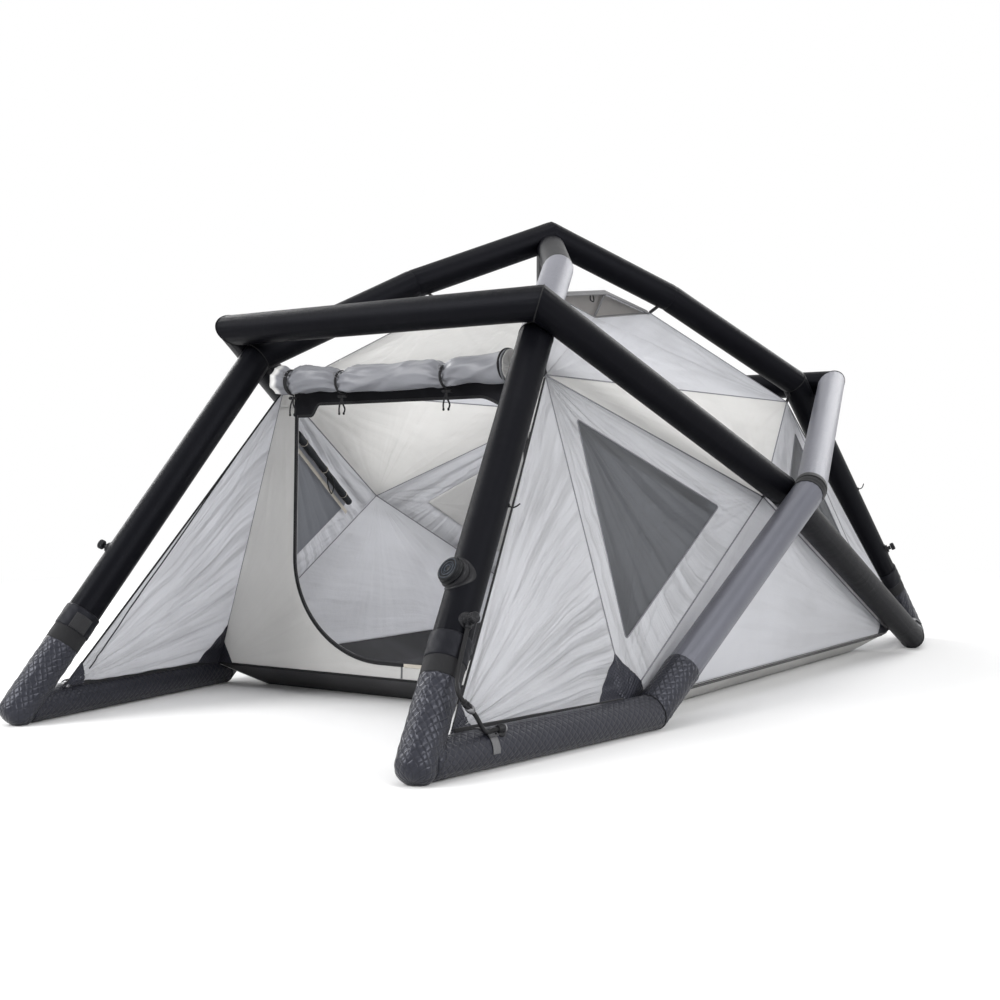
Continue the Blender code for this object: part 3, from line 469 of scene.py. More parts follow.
def quilted_material(colour, pitch):
    """Reinforcement quilted in small diamonds, with stitch lines sunk between the pads and painted shade
    on each pad towards them.
    """
    made = Shader(Sheen_Weight=0.03, Sheen_Roughness=0.4, Specular_IOR_Level=0.38,
                  Specular_Tint=COATED_TINT)
    across, along = made.surface_uv()
    pads = [1.0 - (made.off_middle(run, pitch) * 2.0) ** 3.0
            for run in (across + along, across - along + 5.0)]
    pad = pads[0].least(pads[1])
    cloudy, fine = made.noise(9.0, 4.0, 0.6), made.noise(160.0, 2.0, 0.6)
    # Painted shade: each pad's colour darkens towards the sunk stitch lines round it.
    tint = made.blend(pad, shade(colour, 0.60), shade(colour, 1.1))
    tint = made.blend(cloudy.ramp(0.40, 0.75) * 0.30, tint, shade(colour, 1.5))
    return made.done(tint, cloudy * 0.16 + 0.26, pad * 0.8 + fine * 0.04 + cloudy * 0.5, 0.0022, 0.50)


def cloth_material(colour, drawn):
    """Thin coated tent cloth: ripstop grid, long creases that spread from a pin where it is drawn
    tight, painted shade in the hollows of those creases, fine crumple, and a share of the light on one
    side glowing through to the other."""
    made = Shader(Sheen_Weight=0.08, Sheen_Roughness=0.5, Specular_IOR_Level=0.45)
    across, along = made.surface_uv()
    angle, distance, fold = made.crease()
    broad, crumple = made.noise(2.2, 3.0, 0.5), made.noise(15.0, 4.0, 0.6)
    wander = angle + made.noise(2.4, 2.0, 0.5) * 0.12
    long = made.noise(1.0, 2.0, 0.5, made.vector(wander * 22.0, distance * 2.2, 0.3))
    fine = made.noise(1.0, 2.0, 0.5, made.vector(wander * 52.0, distance * 3.2, 4.3))
    fine = fine * distance.ramp(0.15, 0.60)
    grid = made.threads(across, along, looks().ripstop, 0.44, 0.5)
    threads = made.weave(0.0008, across, along)
    tint = made.blend(broad.ramp(0.35, 0.70), shade(colour, 0.92), colour)
    tint = made.blend(crumple.ramp(0.50, 0.85) * 0.25, tint, shade(colour, 1.06))
    tint = made.blend(grid * 0.07 + threads * 0.04, tint, shade(colour, 0.78))
    # Painted shade: the colour darkens in the hollows of the long creases and where the fold attribute
    # lies low, as if shade fell there.
    sunk = (1.0 - long.ramp(0.36, 0.50)) * 0.34 * drawn + (fold * -1.0).ramp(0.2, 1.2) * 0.16
    tint = made.blend(sunk, tint, shade(colour, 0.60))
    made.let_through(tint, 0.50)
    relief = (long * 2.4 + fine * 1.8) * drawn + crumple * 0.6 + grid * 0.03 + threads * 0.010
    return made.done(tint, crumple * 0.14 + 0.43, relief, 0.0085, 0.85)


def roll_material(colour, lining):
    """The rolled door's cloth: slate grey with the cream lining showing in folds near its left end."""
    made = Shader(Sheen_Weight=0.10, Sheen_Roughness=0.4, Specular_IOR_Level=0.5)
    x, _, z = made.split(made.place())
    crumple = made.noise(26.0, 3.0, 0.5, made.stretched(0.5, 1.3, 1.6))
    blots = made.noise(7.0, 2.0, 0.5, made.stretched(1.0, 2.2, 2.2))
    lined = blots.ramp(0.50, 0.56) * (1.0 - x.ramp(-0.30, -0.16)) * z.ramp(0.770, 0.800)
    lined = lined.most(1.0 - x.ramp(-0.352, -0.340))
    threads = made.weave(0.0009, x, z)
    tint = made.blend(crumple.ramp(0.35, 0.75), shade(colour, 0.92), shade(colour, 1.05))
    tint = made.blend(lined, tint, lining)
    tint = made.blend(threads * 0.08, tint, shade(colour, 0.6))
    return made.done(tint, crumple * 0.12 + 0.36, crumple * 1.0 + threads * 0.02, 0.0050, 0.50)


def mesh_material(colour, pale):
    """Fine window netting: a grid of threads round dark holes, with painted shade in its hanging folds."""
    made = Shader(Sheen_Weight=0.1, Specular_IOR_Level=0.3)
    across, along = made.surface_uv()
    threads = made.threads(across, along, 0.0016, 0.22, 0.40)
    cloudy = made.noise(4.0, 3.0, 0.5)
    tint = made.blend(threads, colour, pale)
    tint = made.blend(cloudy.ramp(0.35, 0.75) * 0.35, tint, shade(pale, 1.15))
    angle, distance, _ = made.crease()
    hung = made.noise(1.0, 2.0, 0.5, made.vector(angle * 17.0, distance * 2.0, 0.8))
    # Painted shade: the net darkens in the hollows of its hanging folds.
    tint = made.blend((1.0 - hung.ramp(0.34, 0.58)) * 0.55, tint, shade(colour, 0.55))
    made.let_through(made.blend(threads, shade(pale, 2.6), shade(pale, 2.0)), 0.50)
    return made.done(tint, cloudy * 0.1 + 0.62, threads * 0.2 + hung * 2.5, 0.004, 0.6)


def webbing_material(colour, rib=0.0016):
    """Woven tape: ribs across it, a fuzzy edge and a dull sheen."""
    made = Shader(Sheen_Weight=0.04, Sheen_Roughness=0.5, Specular_IOR_Level=0.25)
    across, along = made.surface_uv()
    ribs, twill = made.waves(along, rib), made.waves(across + along * 0.6, rib * 1.5)
    fuzz = made.noise(220.0, 2.0, 0.7)
    tint = made.blend(ribs * 0.45 + fuzz * 0.35, shade(colour, 0.6), shade(colour, 1.6))
    return made.done(tint, fuzz * 0.15 + 0.62, ribs * 0.6 + twill * 0.25 + fuzz * 0.2, 0.0006, 0.7)


def tape_material(colour, thread, width):
    """Bound edge tape: fine ribs and a row of stitches near each side, sunk into the tape."""
    made = Shader(Sheen_Weight=0.08, Sheen_Roughness=0.5, Specular_IOR_Level=0.25)
    across, along = made.surface_uv()
    ribs = made.waves(along, 0.0011)
    row = 1.0 - (across.absolute() - width * 0.34).absolute().ramp(0.0003, 0.0008)
    sewn = row * (1.0 - made.off_middle(along, 0.0045).ramp(0.30, 0.40))
    cloudy = made.noise(40.0, 3.0, 0.6)
    tint = made.blend(ribs * 0.3 + cloudy * 0.5, shade(colour, 0.75), shade(colour, 1.35))
    tint = made.blend(sewn, tint, thread)
    return made.done(tint, cloudy * 0.15 + 0.52, ribs * 0.10 + sewn * 0.6 - row * 0.5 + cloudy * 0.6,
                     0.0008, 0.7)


def coil_material(colour):
    """A zip's nylon coil: close slanting teeth along a cord."""
    made = Shader(Specular_IOR_Level=0.4)
    across, along = made.surface_uv()
    teeth, worn = made.waves(along + across * 0.35, 0.0013), made.noise(30.0, 3.0, 0.6)
    tint = made.blend(teeth, shade(colour, 0.35), shade(colour, 1.7))
    return made.done(tint, worn * 0.15 + 0.34, teeth, 0.0006, 0.8)


def plastic_material(colour, roughness):
    """Moulded plastic: a fine spark texture, faint scuffs and a shallow unevenness."""
    made = Shader(Specular_IOR_Level=0.17)
    fine, cloudy = made.noise(900.0, 2.0, 0.6), made.noise(12.0, 3.0, 0.5)
    scuffs = made.noise(45.0, 5.0, 0.7, made.stretched(1.0, 1.0, 3.0))
    tint = made.blend(scuffs.ramp(0.56, 0.74) * 0.5, colour, tuple(c * 1.6 + 0.006 for c in colour[:3]))
    return made.done(tint, scuffs * 0.16 + cloudy * 0.06 + (roughness - 0.08),
                     fine * 0.3 + cloudy * 0.4, 0.0004, 0.5)


def metal_material(colour, roughness):
    """Plated metal: fine turning lines and dull handling marks."""
    made = Shader(Metallic=1.0)
    lines = made.noise(600.0, 2.0, 0.5, made.stretched(1.0, 1.0, 0.05))
    marks = made.noise(70.0, 4.0, 0.65)
    tint = made.blend(marks.ramp(0.50, 0.78) * 0.6, colour, shade(colour, 0.6))
    return made.done(tint, marks * 0.2 + lines * 0.1 + (roughness - 0.1),
                     lines * 0.4 + marks * 0.2, 0.0003, 0.5)


def floor_material(colour):
    """Black coated groundsheet with a faint leathery grain."""
    made = Shader(Specular_IOR_Level=0.4)
    grain = made.node("ShaderNodeTexVoronoi", {"feature": "DISTANCE_TO_EDGE"},
                      {"Vector": made.place(), "Scale": 240.0})["Distance"]
    cloudy = made.noise(5.0, 4.0, 0.6)
    tint = made.blend(cloudy.ramp(0.40, 0.75), shade(colour, 0.75), shade(colour, 1.6))
    return made.done(tint, cloudy * 0.2 + 0.5, grain.ramp(0.0, 0.12) * 0.25 + cloudy * 1.0, 0.002, 0.5)


# Air tubes


def frame_points(sign):
    """The bends of the air tubes on one side; sign is 1 for the right and -1 for the left."""
    outer = (SIDE_CROSSING[0] + 2 * TUBE_RADIUS + 0.0003, *SIDE_CROSSING[1:])
    points = {"side_inner": place(SIDE_CROSSING, sign), "side_outer": place(outer, sign)}
    for end in ENDS:
        for name, table in (("foot", FOOT), ("mid", MID_FOOT)):
            points[f"{name}_{end}"] = place(table[end], sign, TUBE_RADIUS - GROUND_FLAT)
        for name, table in (("shoulder", SHOULDER), ("brow", BROW), ("bend", BEND)):
            points[f"{name}_{end}"] = place(table[end], sign)
    return points


def mitre(before, corner, after):
    """The plane that halves a bend: a point and a normal that points on along the route."""
    return corner, unit(unit(corner - before) + unit(after - corner))


def tube_axes(start, end):
    """A tube's direction and two directions square to it, the first as near upright as it can be."""
    axis = unit(end - start)
    up = unit(vec(0, 0, 1) - axis * axis[2])
    return axis, up, np.cross(axis, up)


def mitred_tube(before, start, end, after, radius=TUBE_RADIUS, fold=0.0011):
    """Points of an inflated sleeve from start to end, cut where it bends towards before and after, or
    square where there is no bend.

    Each line of the surface runs along the axis at the tube's radius, from where it meets one cutting
    plane to where it meets the other. Near each end the radius eases in towards the seam and carries
    short puckers, which are a cosine of the angle that fades with distance. A lap runs along the tube.
    """
    axis, up, across = tube_axes(start, end)
    low_cut = (start, axis) if before is None else mitre(before, start, end)
    high_cut = (end, axis) if after is None else mitre(start, end, after)
    angle = full_turn(TUBE_SIDES)
    spoke = spokes(angle[:, None], up, across)
    low, high = (((point - start - spoke * radius) @ normal) / (axis @ normal)
                 for point, normal in (low_cut, high_cut))
    length = float(np.mean(high - low))
    edge = np.geomspace(0.0008, 0.03, 9)
    share = np.r_[0, edge, np.linspace(0.04, length - 0.04, max(int(length / ROW_PITCH), 6)),
                  length - edge[::-1], length] / length
    run = low[None] + share[:, None] * (high - low)[None]
    near = np.minimum(share, 1 - share)[:, None] * length
    seam = np.exp(-((near / 0.0045) ** 2))
    pucker = np.exp(-near / 0.028) * (1 - np.exp(-near / 0.006))
    wave = np.cos(angle * 17 + 1.3)[None] * 0.6 + np.cos(angle * 29 + share[:, None] * 40) * 0.4
    lap = 0.0007 * np.exp(-(((angle - 2.2)[None] * radius / 0.0022) ** 2))
    size = radius * (1 - SEAM_PINCH * seam) + fold * pucker * wave + lap
    return cap_ends(start + run[..., None] * axis + size[..., None] * spoke, paired(angle * radius, run))


def turned_tube(start, axis_end, stations, wrinkle):
    """Points of a sleeve turned about its axis: (distance, radius) stations, smoothed between them."""
    axis, up, across = tube_axes(start, axis_end)
    distance, radius = np.array(stations, float).T[:, :, None]
    angle = full_turn(TUBE_SIDES)
    swell = wrinkle * np.cos(angle * 9 + distance * 70) * np.cos(distance * 160)
    size = radius + swell * (radius > radius.max() * 0.8)
    grid = start + distance[..., None] * axis + size[..., None] * spokes(angle[:, None], up, across)
    return cap_ends(grid, paired(angle * radius.max(), distance))


def cap_ends(grid, uv):
    """Close a tube: a first and a last row that lie at the middle of its end rings."""
    first = np.broadcast_to(grid[0, :-1].mean(0), grid[:1].shape)
    last = np.broadcast_to(grid[-1, :-1].mean(0), grid[:1].shape)
    return np.concatenate([first, grid, last]), np.concatenate([uv[:1], uv, uv[-1:]])


def press(grid, start, end, reach, down=None):
    """Keep a surface out of a round tube: what lies within reach of its axis moves out to that reach.

    Without down it moves straight away from the axis. With down it keeps its place across the tube
    and drops to the tube's lower side, as the lower of two crossed tubes does.
    """
    axis = unit(end - start)
    length = np.linalg.norm(end - start)
    rel = grid - start
    run = np.clip(rel @ axis, 0, length)[..., None]
    off = rel - run * axis
    distance = np.linalg.norm(off, axis=-1, keepdims=True)
    if down is None:
        moved = start + run * axis + off / np.maximum(distance, 1e-6) * reach
        return np.where(distance < reach, moved, grid)
    down = unit(down - axis * (down @ axis))
    across = np.cross(axis, down)
    aside = (off @ across)[..., None]
    depth = (off @ down)[..., None]
    floor = np.sqrt(np.maximum(reach**2 - aside**2, 0))
    hit = (np.abs(aside) < reach) & (depth < floor) & (depth > -2.2 * reach)
    hit &= (rel @ axis > -reach)[..., None] & (rel @ axis < length + reach)[..., None]
    soft = smooth_step(-0.25 * reach, 0.0, (rel @ axis))[..., None]
    moved = start + run * axis + aside * across + floor * down
    return np.where(hit, grid + (moved - grid) * np.maximum(soft, 0.0), grid)


def grounded(grid):
    """Flatten what would sink into the ground."""
    return np.concatenate([grid[..., :2], np.maximum(grid[..., 2:], 0.0002)], axis=-1)


def sleeve_piece(name, built, material, replaces=(), presses=(), on_ground=False):
    """Finish a tube's points: press its neighbours into it, seat it and add it to the tent."""
    grid, uv = built
    for pressed in presses:
        grid = press(grid, *pressed)
    if on_ground:
        grid = grounded(grid)
    add_piece(name, make_mesh(name, [grid], [uv], closed=True), material, replaces=replaces)


def dome(radius, steps=12, power=2.6):
    """Stations of a rounded end: the radius follows a superellipse from nothing to full."""
    share = np.sin(np.linspace(1, 0, steps) * math.pi / 2) * 0.9995
    size = radius * (1 - share**power) ** (1 / power)
    return [(-radius * s, r) for s, r in zip(share, size)]


def band(low, high, radius, base, edge):
    """Stations of a raised band with rounded edges."""
    turn = np.linspace(0, math.pi / 2, 5)
    rise = [(edge * (1 - math.cos(a)), base + (radius - base) * math.sin(a)) for a in turn]
    middle = [(x, radius) for x in np.linspace(low + edge, high - edge, 12)[1:-1]]
    return [(low + x, r) for x, r in rise] + middle + [(high - x, r) for x, r in rise[::-1]]


def build_leg(end, mark, sign):
    """A leg: its quilted foot with a domed toe, its cuff and strap, and the plain sleeve above them."""
    at = frame_points(sign)
    foot, shoulder = at[f"foot_{end}"], at[f"shoulder_{end}"]
    node = f"leg_{end}_{mark}"
    thick, base = TUBE_RADIUS + 0.0015, TUBE_RADIUS - 0.001
    quilt = dome(thick) + [(x, thick) for x in np.linspace(0.004, FOOT_SLEEVE - 0.006, 30)]
    quilt += [(FOOT_SLEEVE - 0.002, thick - 0.0006), (FOOT_SLEEVE, thick - 0.0022)]
    cuff = band(FOOT_SLEEVE + 0.032, FOOT_SLEEVE + CUFF, TUBE_RADIUS + 0.0036, base, 0.003)
    strap = band(FOOT_SLEEVE - 0.004, FOOT_SLEEVE + 0.036, TUBE_RADIUS + 0.0020, base, 0.002)
    sleeve_piece(f"{node}_foot", turned_tube(foot, shoulder, quilt, 0.0009), "quilted",
                 [node], on_ground=True)
    sleeve_piece(f"{node}_cuff", turned_tube(foot, shoulder, cuff, 0.0006), "cuff")
    sleeve_piece(f"{node}_strap", turned_tube(foot, shoulder, strap, 0.0003), "black_webbing")
    low = foot + unit(shoulder - foot) * (FOOT_SLEEVE + CUFF - 0.006)
    sleeve_piece(f"{node}_shaft", mitred_tube(None, low, shoulder, at[f"bend_{end}"]), "sleeve",
                 presses=brow_presses(end, sign))


def side_of(end):
    """The side crossing that a loop passes: the front loop runs inside the rear hoop."""
    return "side_inner" if end == "front" else "side_outer"


def brow_presses(end, sign):
    """The tubes that lie on the outside of a leg's top and an arch's start."""
    here, there, brow = frame_points(sign), frame_points(-sign), f"brow_{end}"
    return [(here[brow], there[brow], PRESS_REACH), (here[brow], here[side_of(end)], PRESS_REACH)]


def build_arch(end, mark, sign):
    """Half an arch, in two stretches; the one from front right to rear left passes under."""
    at, across = frame_points(sign), frame_points(-sign)
    upper = (end == "front") == (sign < 0)
    shoulder, bend, foot = at[f"shoulder_{end}"], at[f"bend_{end}"], at[f"foot_{end}"]
    top = vec(0, 0, APEX_HEIGHT)
    apex = vec(0, 0, APEX_HEIGHT - (0 if upper else APEX_DROP))
    far_bend = across["bend_rear" if end == "front" else "bend_front"]
    # The front right arch's lower stretch is given the pale hoop colour as painted sunlight.
    sunlit = end == "front" and mark == "right"
    sleeve_piece(f"arch_{end}_{mark}_low", mitred_tube(foot, shoulder, bend, apex),
                 "pale" if sunlit else "sleeve", replaces=[f"arch_{end}_{mark}"],
                 presses=brow_presses(end, sign))
    over = () if upper else (frame_points(-1)["bend_front"], frame_points(1)["bend_rear"])
    sleeve_piece(f"arch_{end}_{mark}_high", mitred_tube(shoulder, bend, apex, far_bend), "sleeve",
                 presses=[(start, top, PRESS_REACH, vec(0, 0, -1)) for start in over])


def build_loop_side(mark, sign):
    """The side stretches of both loops: the black one inside, the grey hoop outside."""
    at, other = frame_points(sign), frame_points(-sign)
    inner, outer, mid = at["side_inner"], at["side_outer"], at["mid_front"]
    hoop = [(mid, outer, PRESS_REACH), (outer, at["brow_rear"], PRESS_REACH)]
    upper = mitred_tube(other["brow_front"], at["brow_front"], inner, at["mid_rear"])
    sleeve_piece(f"side_upper_{mark}_sleeve", upper, "sleeve", replaces=[f"side_upper_{mark}"],
                 presses=hoop)
    lower = mitred_tube(at["brow_front"], inner, at["mid_rear"], at["foot_rear"])
    sleeve_piece(f"side_lower_{mark}_sleeve", lower, "sleeve", replaces=[f"side_lower_{mark}"],
                 presses=hoop, on_ground=True)
    climb = unit(outer - mid)
    elbow_end = mid + climb * 0.140
    elbow = mitred_tube(at["foot_front"], mid, elbow_end, None, TUBE_RADIUS + 0.0015, fold=0.0022)
    sleeve_piece(f"hoop_elbow_{mark}", elbow, "quilted", [f"hoop_lower_{mark}"],
                 on_ground=True)
    low = mitred_tube(None, elbow_end - climb * 0.004, outer, at["brow_rear"], fold=0.0015)
    sleeve_piece(f"hoop_lower_{mark}_sleeve", low, "grey")
    high = mitred_tube(mid, outer, at["brow_rear"], other["brow_rear"], fold=0.0015)
    # The hoop's upper stretch takes the pale colour, a lighter copy of the grey below: painted sunlight.
    sleeve_piece(f"hoop_upper_{mark}_sleeve", high, "pale", [f"hoop_upper_{mark}"])


def build_brow(end):
    """The tube across the top of a loop."""
    right, left = frame_points(1), frame_points(-1)
    brow, side = f"brow_{end}", side_of(end)
    sleeve_piece(f"{brow}_sleeve", mitred_tube(left[side], left[brow], right[brow], right[side]),
                 "sleeve", replaces=[brow])


def build_ground_tube(end, mark, sign):
    """A quilted tube on the ground from a leg's foot to the loop's foot."""
    at = frame_points(sign)
    foot, mid = at[f"foot_{end}"], at[f"mid_{end}"]
    onward = at["side_outer" if end == "front" else "side_inner"]
    tube = mitred_tube(None, foot + unit(mid - foot) * 0.020, mid, onward, fold=0.0022)
    sleeve_piece(f"ground_{end}_{mark}_sleeve", tube, "quilted",
                 [f"ground_{end}_{mark}"], on_ground=True)


# Strips, cords and turned pieces


def tape_outline(width, thickness):
    """A flat tape's cross-section: a rectangle whose sides are half circles."""
    half, round_off = width / 2 - thickness / 2, thickness / 2
    turn = np.linspace(-math.pi / 2, math.pi / 2, 5)
    right = np.stack([half + np.cos(turn) * round_off, np.sin(turn) * round_off], -1)
    top = paired(line(half, -half, 6)[1:-1], round_off)
    whole = np.concatenate([right, top, -right, -top])
    return np.concatenate([whole, whole[:1]])


def round_outline(radius, sides):
    turn = full_turn(sides)
    return np.stack([np.cos(turn), np.sin(turn)], -1) * radius


def swept(points, outline, over=None, closed=False, size=1.0):
    """A cross-section carried along a path: point + side * x * size + over * y * size.

    Over is the direction that the section's upper side faces at each point, made square to the path.
    Without it the section turns as little as it can. An open path's ends are closed; a closed one
    gives its first point only once.
    """
    points = np.asarray(points, float)
    if over is None:
        _, side, over = curve_frame(points)
    else:
        tangents = unit(np.roll(points, -1, axis=0) - np.roll(points, 1, axis=0) if closed
                        else np.gradient(points, axis=0))
        over = np.broadcast_to(np.asarray(over, float), points.shape)
        over = unit(over - tangents * (over * tangents).sum(-1, keepdims=True))
        side = np.cross(tangents, over)
    size = np.broadcast_to(np.asarray(size, float), len(points))[:, None, None]
    grid = (points[:, None] + outline[None, :, :1] * side[:, None] * size
            + outline[None, :, 1:] * over[:, None] * size)
    along = run_lengths(points)
    if closed:
        grid = np.concatenate([grid, grid[:1]])
        along = np.r_[along, along[-1] + np.linalg.norm(points[0] - points[-1])]
    uv = paired(outline[None, :, 0], along[:, None])
    return (grid, uv) if closed else cap_ends(grid, uv)


def turned(profile, origin, axis, sides=40, flutes=24):
    """A turned piece: radius and height pairs in millimetres, each with an optional flute depth, spun
    about an axis and closed at both ends."""
    ends = [(0, profile[0][1]), (0, profile[-1][1])]
    profile = np.array([(*entry, 0.0)[:3] for entry in (ends[0], *profile, ends[1])], float) / 1000
    axis = unit(np.asarray(axis, float))
    angle = full_turn(sides)
    radius = profile[:, :1] + profile[:, 2:] * np.cos(angle * flutes)[None]
    spoke = spokes(angle[:, None], *plane_axes(axis))
    grid = origin + radius[..., None] * spoke[None] + profile[:, 1, None, None] * axis
    return grid, paired(angle * max(profile[:, 0]), run_lengths(profile[:, :2])[:, None])


class Trim:
    """Strips, cords, rings and turned parts that are sewn or moulded into one piece."""

    def __init__(self):
        self.grids = []
        self.uvs = []

    def add(self, made):
        self.grids.append(made[0])
        self.uvs.append(made[1])
        return self

    def tape(self, points, over, width, thickness=0.0016, closed=False):
        return self.add(swept(points, tape_outline(width, thickness), over, closed))

    def cord(self, points, radius, closed=False, over=None, sides=12, size=1.0):
        return self.add(swept(points, round_outline(radius, sides), over, closed, size))

    def ring(self, centre, axis, radius, thickness, steps=40):
        """A hoop: a round cord bent into a circle about an axis."""
        axis = unit(np.asarray(axis, float))
        path = centre + spokes(full_turn(steps)[:-1, None], *plane_axes(axis)) * radius
        return self.cord(path, thickness, closed=True, over=axis)

    def turned(self, profile, origin, axis, **kinds):
        return self.add(turned(profile, origin, axis, **kinds))

    def finish(self, name, material, slot="webbing", body="tent", replaces=()):
        mesh = make_mesh(name, self.grids, self.uvs, weld=0.00002, closed=True)
        return add_piece(name, mesh, material, body, replaces)


def mitre_loop(before, corner, after, radius, ahead=False, shift=0.0):
    """The closed line in which a bend's plane cuts the tube before it, or ahead of it, moved by shift
    along that tube, and its radials."""
    point, normal = mitre(before, corner, after)
    start, end = (corner, after) if ahead else (before, corner)
    axis, up, across = tube_axes(start, end)
    spoke = spokes(full_turn(TUBE_SIDES)[:-1, None], up, across)
    run = ((point - start - spoke * radius) @ normal) / (axis @ normal) + shift
    return start + run[:, None] * axis + spoke * radius, spoke


def build_welts():
    """Sewn welts round the sleeves at their bends, and the black bands on the grey hoop's bend."""
    welts, bands = Trim(), Trim()
    for _, sign in SIDES:
        at, other = frame_points(sign), frame_points(-sign)
        routes = [[at[name] for name in names.split()] for names in (
            "foot_front shoulder_front bend_front", "foot_rear shoulder_rear bend_rear",
            "brow_front side_inner mid_rear", "side_inner mid_rear foot_rear",
            "foot_front mid_front side_outer", "mid_front side_outer brow_rear")]
        routes += [[other[f"brow_{end}"], at[f"brow_{end}"], at[side_of(end)]] for end in ENDS]
        for before, corner, after in routes:
            loop, _ = mitre_loop(before, corner, after, TUBE_RADIUS - 0.0002)
            lifted = np.maximum(loop[:, 2:], 0.0016)
            welts.cord(np.concatenate([loop[:, :2], lifted], -1), 0.0012, closed=True,
                       over=unit(after - before), sides=8)
        for ahead, shift in ((False, -0.012), (True, 0.012)):
            loop, spoke = mitre_loop(at["mid_front"], at["side_outer"], at["brow_rear"],
                                     TUBE_RADIUS + 0.0006, ahead, shift)
            bands.tape(loop, spoke, 0.019, closed=True)
    welts.finish("sleeve_welts", "welt", "sleeve_black")
    bands.finish("hoop_bend_bands", "black_tape", "sleeve_black")


# Cloth panels


def rim_distance(grid, rims):
    """How far each point lies from the nearest stretch of a panel's rims."""
    nearest = np.full(grid.shape[:-1], np.inf)
    for rim in rims:
        for a, b in zip(rim, rim[1:]):
            along = b - a
            share = np.clip(((grid - a) @ along) / max(along @ along, 1e-12), 0, 1)
            nearest = np.minimum(nearest, np.linalg.norm(grid - a - share[..., None] * along, axis=-1))
    return nearest


def outward_normal(a, b, c, inside=(0.0, 0.0, 0.45)):
    """The unit normal of a plane through three points that points away from the tent's inside."""
    normal = unit(np.cross(b - a, c - a))
    return normal if normal @ (a - np.array(inside)) > 0 else -normal


def ridge(turn):
    """A sharp-backed wave from -1 to 1: narrow crests and broad hollows."""
    return 1 - 2 * np.abs(np.sin(turn / 2)) ** 0.75


def grid_area(grids):
    """The area of a set of grids, from the cross product of each cell's diagonals."""
    total = 0.0
    for grid in grids:
        first = grid[1:, 1:] - grid[:-1, :-1]
        second = grid[1:, :-1] - grid[:-1, 1:]
        total += float(np.linalg.norm(np.cross(first, second), axis=-1).sum()) / 2
    return total


